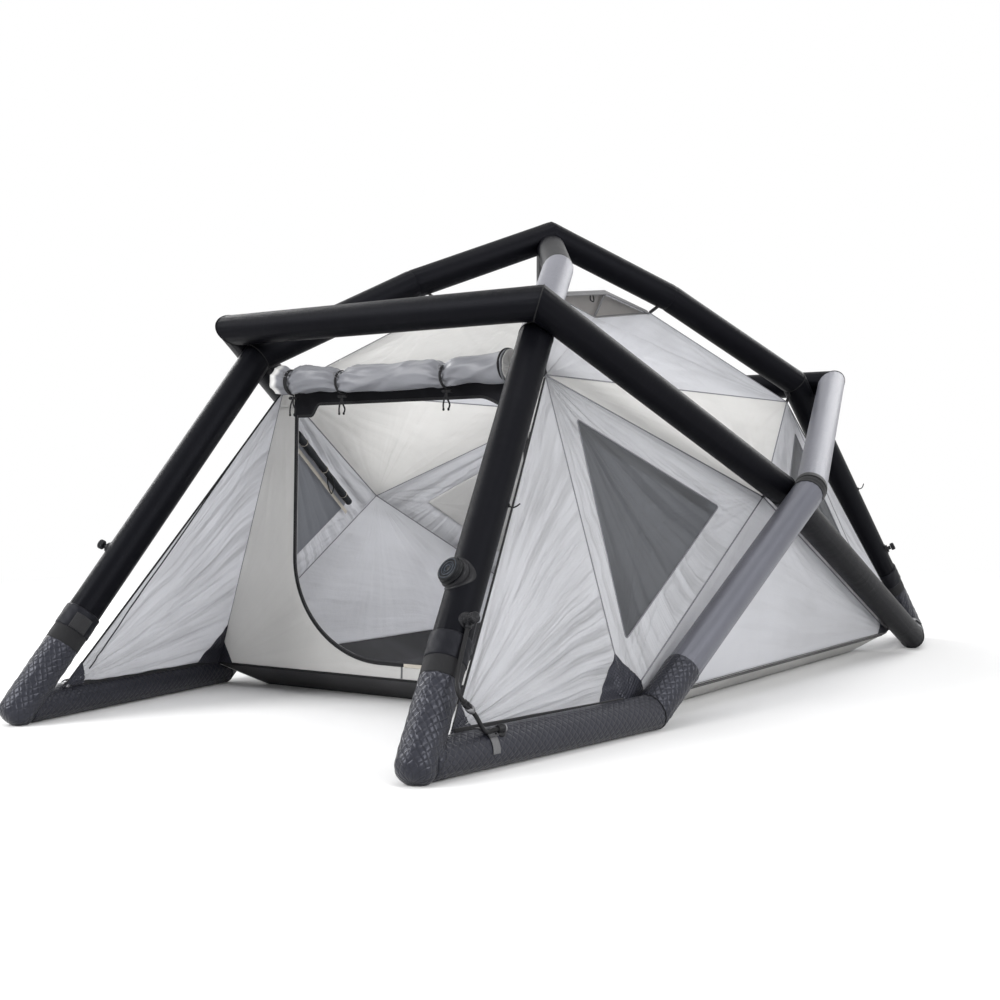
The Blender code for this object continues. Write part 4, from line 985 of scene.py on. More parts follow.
class Panel:
    """The shape of one cloth panel: its corners, its rims, its pins and how it creases."""

    def __init__(self, corners, rims=None, pull=(1.0, 1.0, 1.0, 1.0), facing=None, depth=1.0,
                 reach=0.34, slack=0.003, soft=0.030, seed=0.0):
        self.normal = vec(*facing) if facing is not None else outward_normal(*corners[:3])
        self.side, self.over = plane_axes(self.normal)
        self.rims = rims if rims is not None else [[*corners, corners[0]]]
        self.pins = corners
        self.pull = pull[:len(corners)]
        self.depth = depth * looks().crease_depth
        self.reach = reach
        self.slack = slack
        self.soft = soft
        self.seed = seed
        self.flat = []
        self.middle = np.mean(self.pins, axis=0)

    def fold(self, grid):
        """How the cloth stands up or down between its pins, in parts of the panel's depth.

        Round each pin run folds, sharp-backed waves of the angle about it, as strong as its pull.
        They widen and deepen away from the pin and fade over a reach. Between them lie broad folds,
        a product of slow sines. All of it dies away at the rims.
        """
        height = np.zeros(grid.shape[:-1])
        for index, (pin, pull) in enumerate(zip(self.pins, self.pull)):
            (x, y), (heading_x, heading_y) = self.uv(grid - pin, True), self.uv(self.middle - pin, True)
            distance = np.hypot(x, y)
            turn = np.arctan2(y, x) - math.atan2(heading_y, heading_x)
            turn = (turn + math.pi) % (2 * math.pi) - math.pi
            phase = self.seed * 1.7 + index * 2.1
            folds = (0.85 * ridge(turn * 27 + phase + 0.8 * np.sin(turn * 5 + phase))
                     + 0.65 * ridge(turn * 49 + 2.3 * phase + distance * 2.0)
                     + 0.40 * np.sin(turn * 83 + phase + 1.5 * np.sin(distance * 9)))
            weight = 0.55 + 0.45 * np.sin(turn * 6 + phase * 3)
            fade = distance / (distance + 0.15) * np.exp(-distance / self.reach)
            height += folds * weight * fade * pull
        x, y = self.uv(grid - self.pins[0], True)
        seed = self.seed
        broad = (np.sin(x * 11 + seed + 1.7 * np.sin(y * 5)) * np.sin(y * 8 - seed + 1.3 * np.sin(x * 6))
                 + 0.35 * np.sin(x * 41 + 3 * np.sin(y * 17 + seed)) * np.sin(y * 29 + seed))
        return (height + 0.5 * broad) * smooth_step(0.0, self.soft, rim_distance(grid, self.rims))

    def crease(self, grid):
        """The angle and distance of each point from the pin that pulls most, and its fold."""
        offset = grid - self.pins[int(np.argmax(self.pull))]
        x, y = self.uv(offset, True)
        angle = np.arctan2(y, x)
        angle = np.mod(angle - np.median(angle) + math.pi, 2 * math.pi)
        return np.stack([angle, np.linalg.norm(offset, axis=-1), self.fold(grid)], -1)

    def surface(self, grid, lift=0.0):
        """The cloth's points, moved along the panel's normal by its folds, and by a slack that grows
        towards the middle."""
        away = rim_distance(grid, self.rims)
        height = self.fold(grid) * self.depth - self.slack * smooth_step(0.0, 0.16, away)
        return grid + (height + lift)[..., None] * self.normal

    def uv(self, grid, apart=False):
        """Places in the panel's plane, in metres, as pairs or apart."""
        x, y = grid @ self.side, grid @ self.over
        return (x, y) if apart else np.stack([x, y], -1)

    def cloth(self, name, grids, material, replaces=(), slot="cloth_silver", thickness=0.0015):
        """The panel itself: its grids creased and given their thickness."""
        self.flat = [np.asarray(grid, float) for grid in grids]
        return add_cloth(name, [self.surface(grid) for grid in self.flat],
                         [self.uv(grid) for grid in self.flat], material, slot, thickness, replaces,
                         [self.crease(grid) for grid in self.flat])

    def declare(self, with_pieces=()):
        """Work out the width, length and area of the flat cut the panel is made from; none of them is
        kept.
        """
        corners = np.concatenate([self.uv(grid).reshape(-1, 2) for grid in self.flat])
        width, length = np.ptp(corners, axis=0)
        area = min(max(grid_area(self.flat), 0.302 * width * length), width * length)

    def gussets(self, name, *patches):
        """Quilted reinforcements on both faces of the panel, each of rays from a corner to an edge
        across it: (corner, first side's end, second side's end, (reach along each))."""
        grids, uvs = [], []
        for corner, first, second, reach in patches:
            ends = [corner + unit(to - corner) * length for to, length in zip((first, second), reach)]
            grid = ruled(np.broadcast_to(corner, (29, 3)), line(*ends, 28), 28)
            for lift in (0.0014, -0.0014):
                grids.append(self.surface(grid, lift))
                uvs.append(self.uv(grid))
        return add_cloth(name, grids, uvs, "gusset", "sleeve_quilted", 0.0010)


def triangle_grid(apex, first, second, steps, rungs):
    """A fan of straight rungs between the two sides that leave a corner."""
    return ruled(line(apex, first, steps), line(apex, second, steps), rungs)


def inset_path(points, toward, distance):
    """A path moved sideways in its own plane towards a point."""
    tangents = unit(np.gradient(points, axis=0))
    rel = toward - points
    square_off = unit(rel - tangents * (rel * tangents).sum(-1, keepdims=True))
    return points + square_off * distance


def sagged(start, end, hollow, sag, steps):
    """A free edge between two pins: a parabola that sags towards hollow."""
    share = np.linspace(0, 1, steps + 1)[:, None]
    return start + (end - start) * share + hollow * (4 * sag * share * (1 - share))


def wing_edge(end, sign, steps=120):
    """The curved free edge of a wing, from the shoulder to its tip on the ground tube."""
    top, tip = tent_place(f"shoulder_{end}", sign), tent_place(f"wing_{end}", sign)
    foot = tent_place(f"foot_{end}", sign)
    along = unit(tip - top)
    hollow = (foot - tip) - along * ((foot - tip) @ along)
    return sagged(top, tip, unit(hollow), WING_SAG, steps)


def build_wing(end, mark, sign):
    """The triangular wing outside the front or rear wall, pegged to the ground tube."""
    top, tip, foot = (tent_place(f"{name}_{end}", sign) for name in ("shoulder", "wing", "foot"))
    edge = wing_edge(end, sign)
    panel = Panel([top, tip, foot], rims=[[*edge[::15], foot, top]], seed=1.0 + sign + (end == "rear"),
                  depth=0.8, reach=3.0, soft=0.022, pull=(0.4, 1.5, 0.0))
    name = f"wing_{end}_{mark}"
    made = panel.cloth(f"{name}_cloth", [ruled(edge, line(top, foot, len(edge) - 1), 84)], "wing_cloth")
    trim = Trim().tape(inset_path(edge[1:-1], foot, 0.0015), panel.normal, 0.0052, 0.0036)
    inner = line(edge[22], tip + unit(foot - tip) * 0.036, 60)[:-4]
    trim.tape(panel.surface(inner, -0.0016), panel.normal, 0.0034, 0.0022)
    trim.tape(inset_path(line(tip, foot, 60)[1:-1], top, 0.005), panel.normal, 0.011, 0.0040)
    bound = trim.finish(f"{name}_binding", "black_tape")
    corners = panel.gussets(f"{name}_gussets", (tip, top, foot, (0.070, 0.062)),
                            (foot, top, tip, (0.105, 0.096)))
    panel.declare([bound, corners])


def window_corners(end, sign):
    """The corners of a side window, before they are rounded."""
    corners = [tent_place(name, sign) for name in (f"shoulder_{end}", f"foot_{end}", "peak")]
    return [sum(share * corner for share, corner in zip(shares, corners))
            for shares in WINDOW_SHARES]


def rounded_loop(points, side_steps, turn_steps):
    """A closed outline through three corners, each turned with an arc; starts on the first arc."""
    arcs = []
    for index, corner in enumerate(points):
        back, on = unit(points[index - 1] - corner), unit(points[(index + 1) % 3] - corner)
        half = math.acos(float(np.clip(back @ on, -1, 1))) / 2
        centre = corner + unit(back + on) * WINDOW_RADIUS / math.sin(half)
        first, last = (unit(corner + way * WINDOW_RADIUS / math.tan(half) - centre)
                       for way in (back, on))
        sweep = math.acos(float(np.clip(first @ last, -1, 1)))
        share = np.linspace(0, 1, turn_steps + 1)[:, None]
        spoke = (np.sin((1 - share) * sweep) * first + np.sin(share * sweep) * last) / math.sin(sweep)
        arcs.append(centre + spoke * WINDOW_RADIUS)
    loop = []
    for arc, after in zip(arcs, arcs[1:] + arcs[:1]):
        loop += [arc[:-1], line(arc[-1], after[0], side_steps)[:-1]]
    return np.concatenate([*loop, arcs[0][:1]])


def corner_loop(points, share, side_steps, turn_steps):
    """The sharp outline that partners rounded_loop: its corners take the arcs' steps."""
    loop = []
    half = turn_steps // 2
    for index, corner in enumerate(points):
        back, on = points[index - 1], points[(index + 1) % 3]
        before, after = corner + (back - corner) * share, corner + (on - corner) * share
        loop += [line(before, corner, half)[:-1], line(corner, after, turn_steps - half)[:-1],
                 line(after, on + (corner - on) * share, side_steps)[:-1]]
    return np.concatenate([*loop, loop[0][:1]])


def build_side_triangle(end, mark, sign):
    """The side panel between a shoulder, a foot and the peak, with its window and their trim."""
    corners = [tent_place(name, sign) for name in (f"shoulder_{end}", f"foot_{end}", "peak")]
    top, foot, peak = corners
    hole = window_corners(end, sign)
    inner, outer = rounded_loop(hole, 90, 10), corner_loop(corners, 0.04, 90, 10)
    seed, name = 3.0 + sign + (end == "rear"), f"side_{end}_{mark}"
    panel = Panel(corners, rims=[[*corners, top], [*hole, hole[0]]], seed=seed, depth=1.1,
                  reach=1.2, slack=0.0, soft=0.024, pull=(1.7, 0.5, 0.7))
    made = panel.cloth(f"{name}_cloth", [ruled(outer, inner, 26)], "side_cloth", [name])
    net = Panel(hole, seed=seed, depth=0.5, reach=0.8, slack=0.003, pull=(1.5, 0.6, 0.5))
    pane = ruled(np.broadcast_to(inner.mean(0), inner.shape), inner, 26)
    blend = np.linspace(0, 1, 27)[None, :, None] ** 6
    net.flat = [pane]
    rim = panel.surface(inner) - net.normal * 0.0012
    shown = net.surface(pane, -0.0012) * (1 - blend) + rim[:, None] * blend
    window = add_cloth(f"window_{end}_{mark}_net", [shown], [net.uv(pane)], "window_net", "mesh_grey",
                       0.0008, [f"window_{end}_{mark}"], [net.crease(pane)])
    net.declare()
    bead = panel.surface(inset_path(inner[:-1], inner.mean(0), -0.0012), 0.0004)
    bound = Trim().tape(bead, panel.normal, 0.0036, 0.0032, closed=True).finish(
        f"window_{end}_{mark}_binding", "seam")
    gussets = panel.gussets(f"{name}_gussets", (foot, top, peak, (0.105, 0.070)))
    panel.declare([bound, gussets])


def build_window_covers(mark, sign):
    """The inner window covers: the front one rolled up along the window's top, the rear one shut."""
    top, foot, peak = window_corners("front", sign)
    normal, along = outward_normal(top, foot, peak), unit(peak - top)
    start, end = top + along * 0.012 - normal * 0.024, peak - along * 0.030 - normal * 0.024
    bundle = 0.0095 + 0.0005 * np.sin(line(0, 9, 60)) + 0.0004 * np.sin(line(0, 31, 60))
    roll = Trim().cord(line(start, end, 60), 1.0, over=normal, sides=20, size=bundle)
    roll.finish(f"window_cover_{mark}_rolled", "dark_cloth", "mesh_grey")
    ties = Trim()
    for share in (0.12, 0.5, 0.88):
        ties.ring(start + (end - start) * share, end - start, 0.0102, 0.0011, 24)
    edge = line(top + along * 0.006, peak, 50) + (foot - top) * 0.045 - normal * 0.012
    ties.tape(edge, -normal, 0.010, 0.0014)
    ties.finish(f"window_cover_{mark}_ties", "cream_tape")
    hole = window_corners("rear", sign)
    corners = [corner + (np.mean(hole, axis=0) - corner) * -0.06 for corner in hole]
    loop = rounded_loop(corners, 60, 8)
    cover = Panel(corners, seed=12 + sign, depth=0.5, slack=0.002)
    set_back = cover.normal * 0.009
    grid = ruled(np.broadcast_to(loop.mean(0), loop.shape), loop, 24) - set_back
    cover.rims = [[corner - set_back for corner in cover.rims[0]]]
    made = cover.cloth(f"window_cover_{mark}_shut", [grid], "cream_cloth", thickness=0.0012)
    cover.declare()


def build_side_foot(mark, sign):
    """The low side panel between the feet and the peak, and the skirt below it on the rim."""
    front, rear, peak = (tent_place(name, sign) for name in ("foot_front", "foot_rear", "peak"))
    name = f"side_foot_{mark}"
    panel = Panel([peak, front, rear], pull=(0.5, 0.8, 1.0), seed=2.0 + sign, depth=0.9, reach=0.50,
                  slack=0.004)
    made = panel.cloth(f"{name}_cloth", [triangle_grid(peak, front, rear, 70, 150)], "silver_cloth")
    gussets = panel.gussets(f"{name}_gussets", (front, peak, rear, (0.070, 0.080)),
                            (rear, peak, front, (0.070, 0.080)))
    panel.declare([gussets])
    low = [tent_place(f"tray_{end}", sign) for end in ("rear", "front")]
    skirt = Panel([front, rear, *low], seed=14.0 + sign, depth=0.10, slack=0.0, soft=0.02)
    drop = line(front, rear, 190), line(front + (low[1] - front) * SKIRT_SHARE,
                                        rear + (low[0] - rear) * SKIRT_SHARE, 190)
    # The skirt's pale cream over the rim's sloping wall stands in for the shaded ground below the side: a
    # sheet of painted shade.
    hung = skirt.cloth(f"{name}_skirt", [ruled(*drop, 14) + skirt.normal * 0.0024], "cream_cloth",
                       thickness=0.0010)
    strip = ruled(*drop, 10)[:, 1] + skirt.normal * 0.0034
    bound = Trim().tape(strip, skirt.normal, 0.0210, 0.0020).finish(f"{name}_binding", "black_tape")
    skirt.declare([bound])


def build_side_top(mark, sign):
    """The panel above the peak, between the shoulders."""
    front, rear, peak = (tent_place(n, sign) for n in ("shoulder_front", "shoulder_rear", "peak"))
    panel = Panel([peak, front, rear], pull=(0.6, 1.0, 0.9), seed=4.0 + sign, depth=0.9, reach=0.40,
                  slack=0.004)
    made = panel.cloth(f"side_top_{mark}_cloth", [triangle_grid(peak, front, rear, 60, 150)],
                       "cream_cloth", [f"side_top_{mark}"])
    panel.declare()


def build_roof_slopes():
    """The front and rear slopes and the two long side slopes of the roof."""
    for end in ENDS:
        low, high = ([tent_place(f"{name}_{end}", sign) for sign in (-1, 1)]
                     for name in ("shoulder", "bend"))
        panel = Panel([*low, *high[::-1]], seed=6.0, depth=0.9, slack=0.006)
        made = panel.cloth(f"roof_{end}_cloth", [ruled(line(*low, 130), line(*high, 130), 70)],
                           "cream_cloth", [f"roof_{end}"])
        panel.declare()
    for mark, sign in SIDES:
        front, rear, *bends = (tent_place(f"{name}_{end}", sign) for name in ("shoulder", "bend")
                               for end in ENDS)
        if mark == "left":
            grids = [ruled(line(front, rear, 170), line(*bends, 170), 52)]
            rim = [front, rear, bends[1], bends[0], front]
        else:
            lip = tent_place("vent_lip", sign)
            grids = [triangle_grid(lip, front, rear, 52, 140),
                     triangle_grid(front, lip, bends[0], 70, 32),
                     triangle_grid(rear, lip, bends[1], 70, 32)]
            rim = [front, rear, bends[1], lip, bends[0], front]
        panel = Panel([front, rear, *bends], rims=[rim], pull=(1.0, 0.9, 0.6, 0.6), seed=7.0 + sign,
                      depth=0.9, reach=0.40)
        made = panel.cloth(f"roof_{mark}_cloth", grids, "silver_cloth", [f"roof_{mark}"])
        panel.declare()


def polyline(points, step=0.008):
    """A polyline's points with more between them, about a step apart, every corner kept."""
    parts = [line(a, b, max(int(np.linalg.norm(b - a) / step), 1))[:-1]
             for a, b in zip(points, points[1:])]
    return np.concatenate([*parts, [points[-1]]])


def build_roof_top():
    """The peaked top panel: a fan from the ridge, with the vent's hood on the right."""
    peak, hood = tent_place("ridge"), tent_place("vent_hood")
    front, rear = ([tent_place(f"bend_{end}", sign) for sign in (-1, 1)] for end in ENDS)
    rim = [*front, hood, *rear[::-1], front[0]]
    share = line(0, 1, 40)[:, None, None]
    grid = peak + (polyline(rim, 0.008) - peak)[None] * share
    grid = grid - vec(0, 0, 0.010) * (np.sin(share * math.pi) ** 2)
    panel = Panel([peak, *front, *rear], facing=(0, 0, 1), rims=[rim], pull=(1.0, 0.8, 0.8, 0.8, 0.8),
                  seed=8.0, depth=0.7, reach=0.16, slack=0.0)
    made = panel.cloth("roof_top_cloth", [grid], "silver_cloth", ["roof_top"])
    panel.declare()


class Wall:
    """Places on an end wall: u across it from its middle, v up it from its foot, w out of it."""

    def __init__(self, end="front"):
        foot, top = tent_place(f"foot_{end}"), tent_place(f"shoulder_{end}")
        self.base = vec(0, foot[1], foot[2])
        rise = vec(0, top[1], top[2]) - self.base
        self.height = float(np.linalg.norm(rise))
        self.up = rise / self.height
        self.across = vec(1, 0, 0)
        self.out = np.cross(self.across, self.up) * (1 if end == "front" else -1)
        self.foot_half, self.top_half = foot[0], top[0]

    def at(self, u, v, w=0.0):
        u, v, w = np.broadcast_arrays(np.asarray(u, float), v, w)
        return (self.base + u[..., None] * self.across + v[..., None] * self.up
                + w[..., None] * self.out)

    def half(self, v):
        """Half the wall's width at a height v."""
        return self.foot_half + (self.top_half - self.foot_half) * v / self.height


def door_outline(margin=0.0, steps=24, sides=40, middle=18):
    """The door's edge as (u, v): down the left side, round both lower corners and up the right."""
    wide, tall = DOOR_CORNER[0] + margin, DOOR_CORNER[1] + margin
    centre_u, centre_v = DOOR_HALF_WIDTH - DOOR_CORNER[0], DOOR_SILL + DOOR_CORNER[1]
    turn = np.linspace(0, math.pi / 2, steps + 1)
    corner_u, corner_v = centre_u + wide * np.cos(turn), centre_v - tall * np.sin(turn)
    side_v = np.linspace(DOOR_HEAD, centre_v, sides)[:-1]
    side_u = np.full(sides - 1, DOOR_HALF_WIDTH + margin)
    sill_u = np.linspace(-centre_u, centre_u, middle + 1)[1:-1]
    u = np.r_[-side_u, -corner_u, sill_u, corner_u[::-1], side_u]
    v = np.r_[side_v, corner_v, np.full(len(sill_u), DOOR_SILL - margin), corner_v[::-1], side_v[::-1]]
    return u, v


def build_front_wall():
    """The front wall: a ring of cloth round the door, and the strip that the rolled door hides."""
    wall = Wall()
    inner = wall.at(*door_outline(steps=34, sides=56, middle=20))
    turn_v = 0.17
    left = np.concatenate([np.stack([-wall.half(s), s], -1) for s in
                           (np.linspace(DOOR_HEAD, turn_v, 60)[:-1], np.linspace(turn_v, 0, 20)[:-1])])
    base = paired(np.linspace(-wall.foot_half, wall.foot_half, 50), 0.0)
    outline = along_line(np.pad(np.concatenate([left, base, left[::-1] * (-1, 1)]),
                                ((0, 0), (0, 1))), len(inner))
    outer = wall.at(outline[:, 0], outline[:, 1])
    over = np.linspace(DOOR_HEAD, wall.height, 12)
    strip = wall.at(np.linspace(-1, 1, 150)[None] * wall.half(over)[:, None], over[:, None])
    corners = ring_places(WALL_RING, "{}_front")
    panel = Panel(corners, rims=[[*corners, corners[0]], [*inner[::6], inner[-1], inner[0]]], seed=9.0,
                  depth=0.7, reach=0.30, slack=0.0, soft=0.045)
    made = panel.cloth("wall_front_cloth", [ruled(outer, inner, 30), strip], "cream_cloth",
                       ["wall_front"])
    sill = panel.surface(wall.at(0.0, np.linspace(0.004, DOOR_SILL - 0.004, 12)))
    seam = Trim().tape(sill, wall.out, 0.006, 0.0034).finish("sill_seam", "grey_tape")
    gussets = wall_gussets(panel, "wall_front_gussets", (0.060, 0.050))
    panel.declare([seam, gussets, *doorway_pieces(wall, panel)])


def ring_places(ring, pattern):
    """Corners in order round a wall or the floor; the pattern makes each tent place's name."""
    return [tent_place(pattern.format(name), sign) for name, sign in ring]


def wall_gussets(panel, name, reach):
    """Reinforcements in a wall's two low corners."""
    left, right, right_top, left_top = panel.pins
    return panel.gussets(name, (left, left_top, right, reach), (right, right_top, left, reach))


def build_rear_wall():
    """The plain rear wall."""
    corners = ring_places(WALL_RING, "{}_rear")
    grid = ruled(line(*corners[:2], 130), line(*corners[:1:-1], 130), 90)
    panel = Panel(corners, seed=10.0, depth=1.1, reach=0.40, slack=0.005)
    made = panel.cloth("wall_rear_cloth", [grid], "silver_cloth", ["wall_rear"])
    panel.declare([wall_gussets(panel, "wall_rear_gussets", (0.100, 0.080))])


def build_floor():
    """The groundsheet and its raised rims, bound along the front and the rear."""
    outer, inner = ring_places(FLOOR_RING, "foot_{}"), ring_places(FLOOR_RING, "tray_{}")
    loops = [np.concatenate([*(line(ring[i], ring[(i + 1) % 4], n)[:-1]
                               for i, n in enumerate((70, 90, 70, 90))), ring[:1]])
             for ring in (outer, inner)]
    bed = ruled(line(*inner[:2], 70), line(*inner[:1:-1], 70), 90)
    panel = Panel(inner, facing=(0, 0, 1), seed=11.0, depth=0.16, slack=0.0)
    made = panel.cloth("floor_sheet", [ruled(*loops, 14), bed], "groundsheet", ["floor_tray"],
                       "floor_black")
    trim = Trim()
    for ends in (outer[:2], outer[2:]):
        trim.cord(line(*ends, 110), 0.0032, over=(0, 0, 1))
    bound = trim.finish("floor_binding", "welt", "floor_black")
    panel.declare([bound])


def build_seams():
    """Piped seams where the panels meet, and the bindings of the vent's hood and lip."""
    seams = Trim()
    runs = [("shoulder_front", "foot_front"), ("shoulder_front", "peak"), ("peak", "foot_front"),
            ("shoulder_rear", "foot_rear"), ("shoulder_rear", "peak"), ("peak", "foot_rear"),
            ("shoulder_front", "shoulder_rear"), ("shoulder_front", "bend_front"),
            ("shoulder_rear", "bend_rear")]
    for _, sign in SIDES:
        for first, last in runs:
            start, end = tent_place(first, sign), tent_place(last, sign)
            short = unit(start - end) * (0.070 if last.startswith("foot") else 0.0)
            seams.cord(line(start, end + short, 40), SEAM_RADIUS, sides=8)
    seams.cord(line(tent_place("bend_front", -1), tent_place("bend_rear", -1), 40), RIDGE_RADIUS, sides=8)
    for end in ENDS:
        for name in (f"bend_{end}", f"shoulder_{end}"):
            seams.cord(line(tent_place(name, -1), tent_place(name, 1), 60), RIDGE_RADIUS, sides=8)
    seams.finish("tent_seams", "seam")
    bends = tent_place("bend_front"), tent_place("bend_rear")
    for name, facing, width, thickness in (("vent_hood", (0.75, 0, 0.66), 0.016, 0.0036),
                                           ("vent_lip", (0.45, 0, 0.9), 0.009, 0.0034)):
        edge = along_line([bends[0], tent_place(name), bends[1]], 120)[2:-2]
        Trim().tape(edge, facing, width, thickness).finish(f"{name}_binding", "grey_tape")


# Door


def doorway_pieces(wall, panel):
    """The zip round the doorway and the black header band with its corner tabs."""
    u, v = door_outline(0.0058)
    route = panel.surface(wall.at(u, v), 0.0020)
    first, last = np.flatnonzero((u > 0.004) & (v < DOOR_SILL + 0.02))[[0, -1]]
    tape = Trim()
    for run in (route[:first + 1], route[last:]):
        tape.tape(run, wall.out, 0.0098, 0.0018)
    tape = tape.finish("door_zip_tape", "black_tape", "sleeve_black", replaces=["door_zip"])
    hem = Trim().tape(route[first:last + 1], wall.out, 0.0110, 0.0020)
    coil = Trim().cord(panel.surface(wall.at(*door_outline(0.0012)), 0.0018), 0.0018, over=wall.out,
                       sides=10)
    hem = hem.finish("door_sill_hem", "cream_tape")
    coil = coil.finish("door_zip_coil", "zip_coil", "sleeve_black")
    across = np.linspace(-0.346, 0.346, 130)
    tab = smooth_step(-0.262, -0.292, across) * 0.028
    sweep = smooth_step(0.215, 0.325, across) * 0.036 * (across < 0.334)
    low = DOOR_HEAD + 0.002 - tab - sweep
    v = low + (DOOR_HEAD + 0.035 - low) * line(0, 1, 21)[:, None]
    loose = smooth_step(DOOR_HEAD + 0.004, DOOR_HEAD - 0.02, v)
    w = 0.0034 + 0.0006 * np.sin(across * 70 + v * 60) + loose * 0.0016 * np.sin(across * 47)
    grid = wall.at(across, v, w)
    band = add_cloth("door_header_band", [grid], [paired(v, across)], "black_cloth", "floor_black",
                     0.0018, ["door_header"])
    edge = Trim().tape(grid[0, 2:-2] + wall.out * 0.0012, wall.out, 0.007, 0.0016)
    edge = edge.finish("door_header_binding", "black_tape", "floor_black")
    cord = Trim()
    for shift in (0.0, 0.006):
        cord.ring(wall.at(0.300 + shift, 0.598 - shift * 0.6, 0.010 + shift), (0.75, -0.65, 0.1),
                  0.0145 - shift * 0.4, 0.0017, 36)
    cord.cord(line(wall.at(0.302, 0.6105, 0.0085), wall.at(0.306, 0.6290, 0.0050), 6), 0.0017)
    cord.finish("door_cord_loops", "rubber")
    return [tape, hem, coil, band, edge]


def pebble(centre, axes, halves, power=5.0, rows=14, columns=28):
    """A rounded block: a superellipsoid with three axes and half sizes."""
    lean, turn = line(-math.pi / 2, math.pi / 2, rows)[:, None], full_turn(columns)

    def soft(value):
        return np.sign(value) * np.abs(value) ** (2.0 / power)

    parts = np.stack(np.broadcast_arrays(soft(np.cos(lean)) * soft(np.cos(turn)),
                                         soft(np.cos(lean)) * soft(np.sin(turn)),
                                         soft(np.sin(lean))), -1) * halves
    return centre + parts @ np.array(axes), parts[..., :2]


def build_zip_slider():
    """The zip's slider, with the bridge that holds the pull, and the pull's cord and grip."""
    wall = Wall()
    axes, u, v = (wall.across, wall.up, wall.out), DOOR_HALF_WIDTH + 0.008, SLIDER_HEIGHT
    body = Trim()
    body.add(pebble(wall.at(u, v + 0.003, 0.0042), axes, (0.0062, 0.0066, 0.0009)))
    body.add(pebble(wall.at(u, v - 0.005, 0.0042), axes, (0.0044, 0.0048, 0.0009)))
    body.add(pebble(wall.at(u, v, 0.0056), axes, (0.0018, 0.0078, 0.0016), 3.0))
    body.finish("zip_slider_body", "dark_metal", "fitting_metal", "zip_slider", ["zip_slider"])
    loop = [wall.at(u + a * 0.0022, v + b, 0.0090) for a, b in
            ((-0.6, -0.0025), (-1, -0.007), (-1, -0.022), (1, -0.022), (1, -0.007), (0.6, -0.0025))]
    pull = Trim().cord(along_line(loop, 40), 0.0009, over=wall.out)
    pull.add(pebble(wall.at(u, v - 0.025, 0.0090), axes, (0.0034, 0.0062, 0.0011), 3.5))
    pull.finish("zip_pull_tab", "black_plastic", "webbing", "zip_pull", ["zip_pull"])


def roll_shape(u):
    """The roll's radius and how far its middle hangs at places along it: slimmer between its ends and
    drawn in under each tie, with its underside kept level."""
    share = np.clip((u - ROLL["left"]) / (ROLL["right"] - ROLL["left"]), 0, 1)
    pinch = sum(np.exp(-(((u - tie) / 0.019) ** 2)) for tie in TIES)
    slim = 0.0062 * np.sin(math.pi * share) + 0.0105 * pinch
    return ROLL["radius"] - 0.0034 - slim, 0.70 * slim + 0.0050 * np.sin(math.pi * share)


def build_roll():
    """The rolled-up door: one spiral of cloth, drawn in under its ties, and its bound right end."""
    u = np.linspace(ROLL["left"] + 0.004, ROLL["right"] - 0.004, 170)
    turn = np.linspace(0, 3.6 * 2 * math.pi, 230)[:, None]
    grow = turn / turn[-1]
    near = sum(np.exp(-np.abs(u - tie) / 0.050) for tie in TIES)
    full, hang = roll_shape(u)
    gathers = (0.0040 * ridge(turn * 9 + 2.5 * np.sin(u * 24)) * near
               + 0.0028 * ridge(turn * 5 + u * 34) * near
               + 0.0030 * np.sin(turn * 2.0 - u * 19 + 1.6 * np.sin(u * 11))
               + 0.0026 * ridge(turn * 3 + u * 42 + 1.2 * np.sin(turn * 2))
               * smooth_step(-0.1, 0.6, np.sin(u * 21 + turn)))
    radius = np.minimum(0.012 + (full - 0.012) * grow + gathers * grow, ROLL["radius"] - 0.0014)
    grid = np.stack([np.broadcast_to(u, radius.shape), ROLL_PLACE[1] + np.cos(turn + 0.6) * radius,
                     ROLL_PLACE[2] + np.sin(turn + 0.6) * radius * 0.96 - hang], -1)
    along = np.r_[0, np.cumsum(np.diff(turn[:, 0]) * radius.mean(1)[1:])]
    made = add_cloth("door_roll_cloth", [grid], [paired(u, along[:, None])], "roll_cloth",
                     thickness=0.0020, replaces=["door_roll"])
    centre = vec(ROLL["right"] - 0.006, *ROLL_PLACE[1:])
    hoop = Trim().ring(centre, (1, -0.12, 0.05), 0.0375, 0.0026, 60)
    bound = hoop.finish("door_roll_binding", "black_tape", "cloth_silver")
    share, spin = line(0, 1, 21)[:, None], full_turn(120)
    fold = 0.0045 * ridge(spin * 9 + 3 * share + 0.8 * np.sin(spin * 3)) * share * (1.1 - share) * 3
    disc = np.stack([0.0066 - 0.0030 * (1 - share**1.5) + fold * 0.4, share * 0.0365 * np.cos(spin),
                     share * 0.0365 * np.sin(spin)], -1) + centre
    lining = add_cloth("door_roll_lining", [disc], [disc[..., 1:]], "cream_cloth", thickness=0.0012)


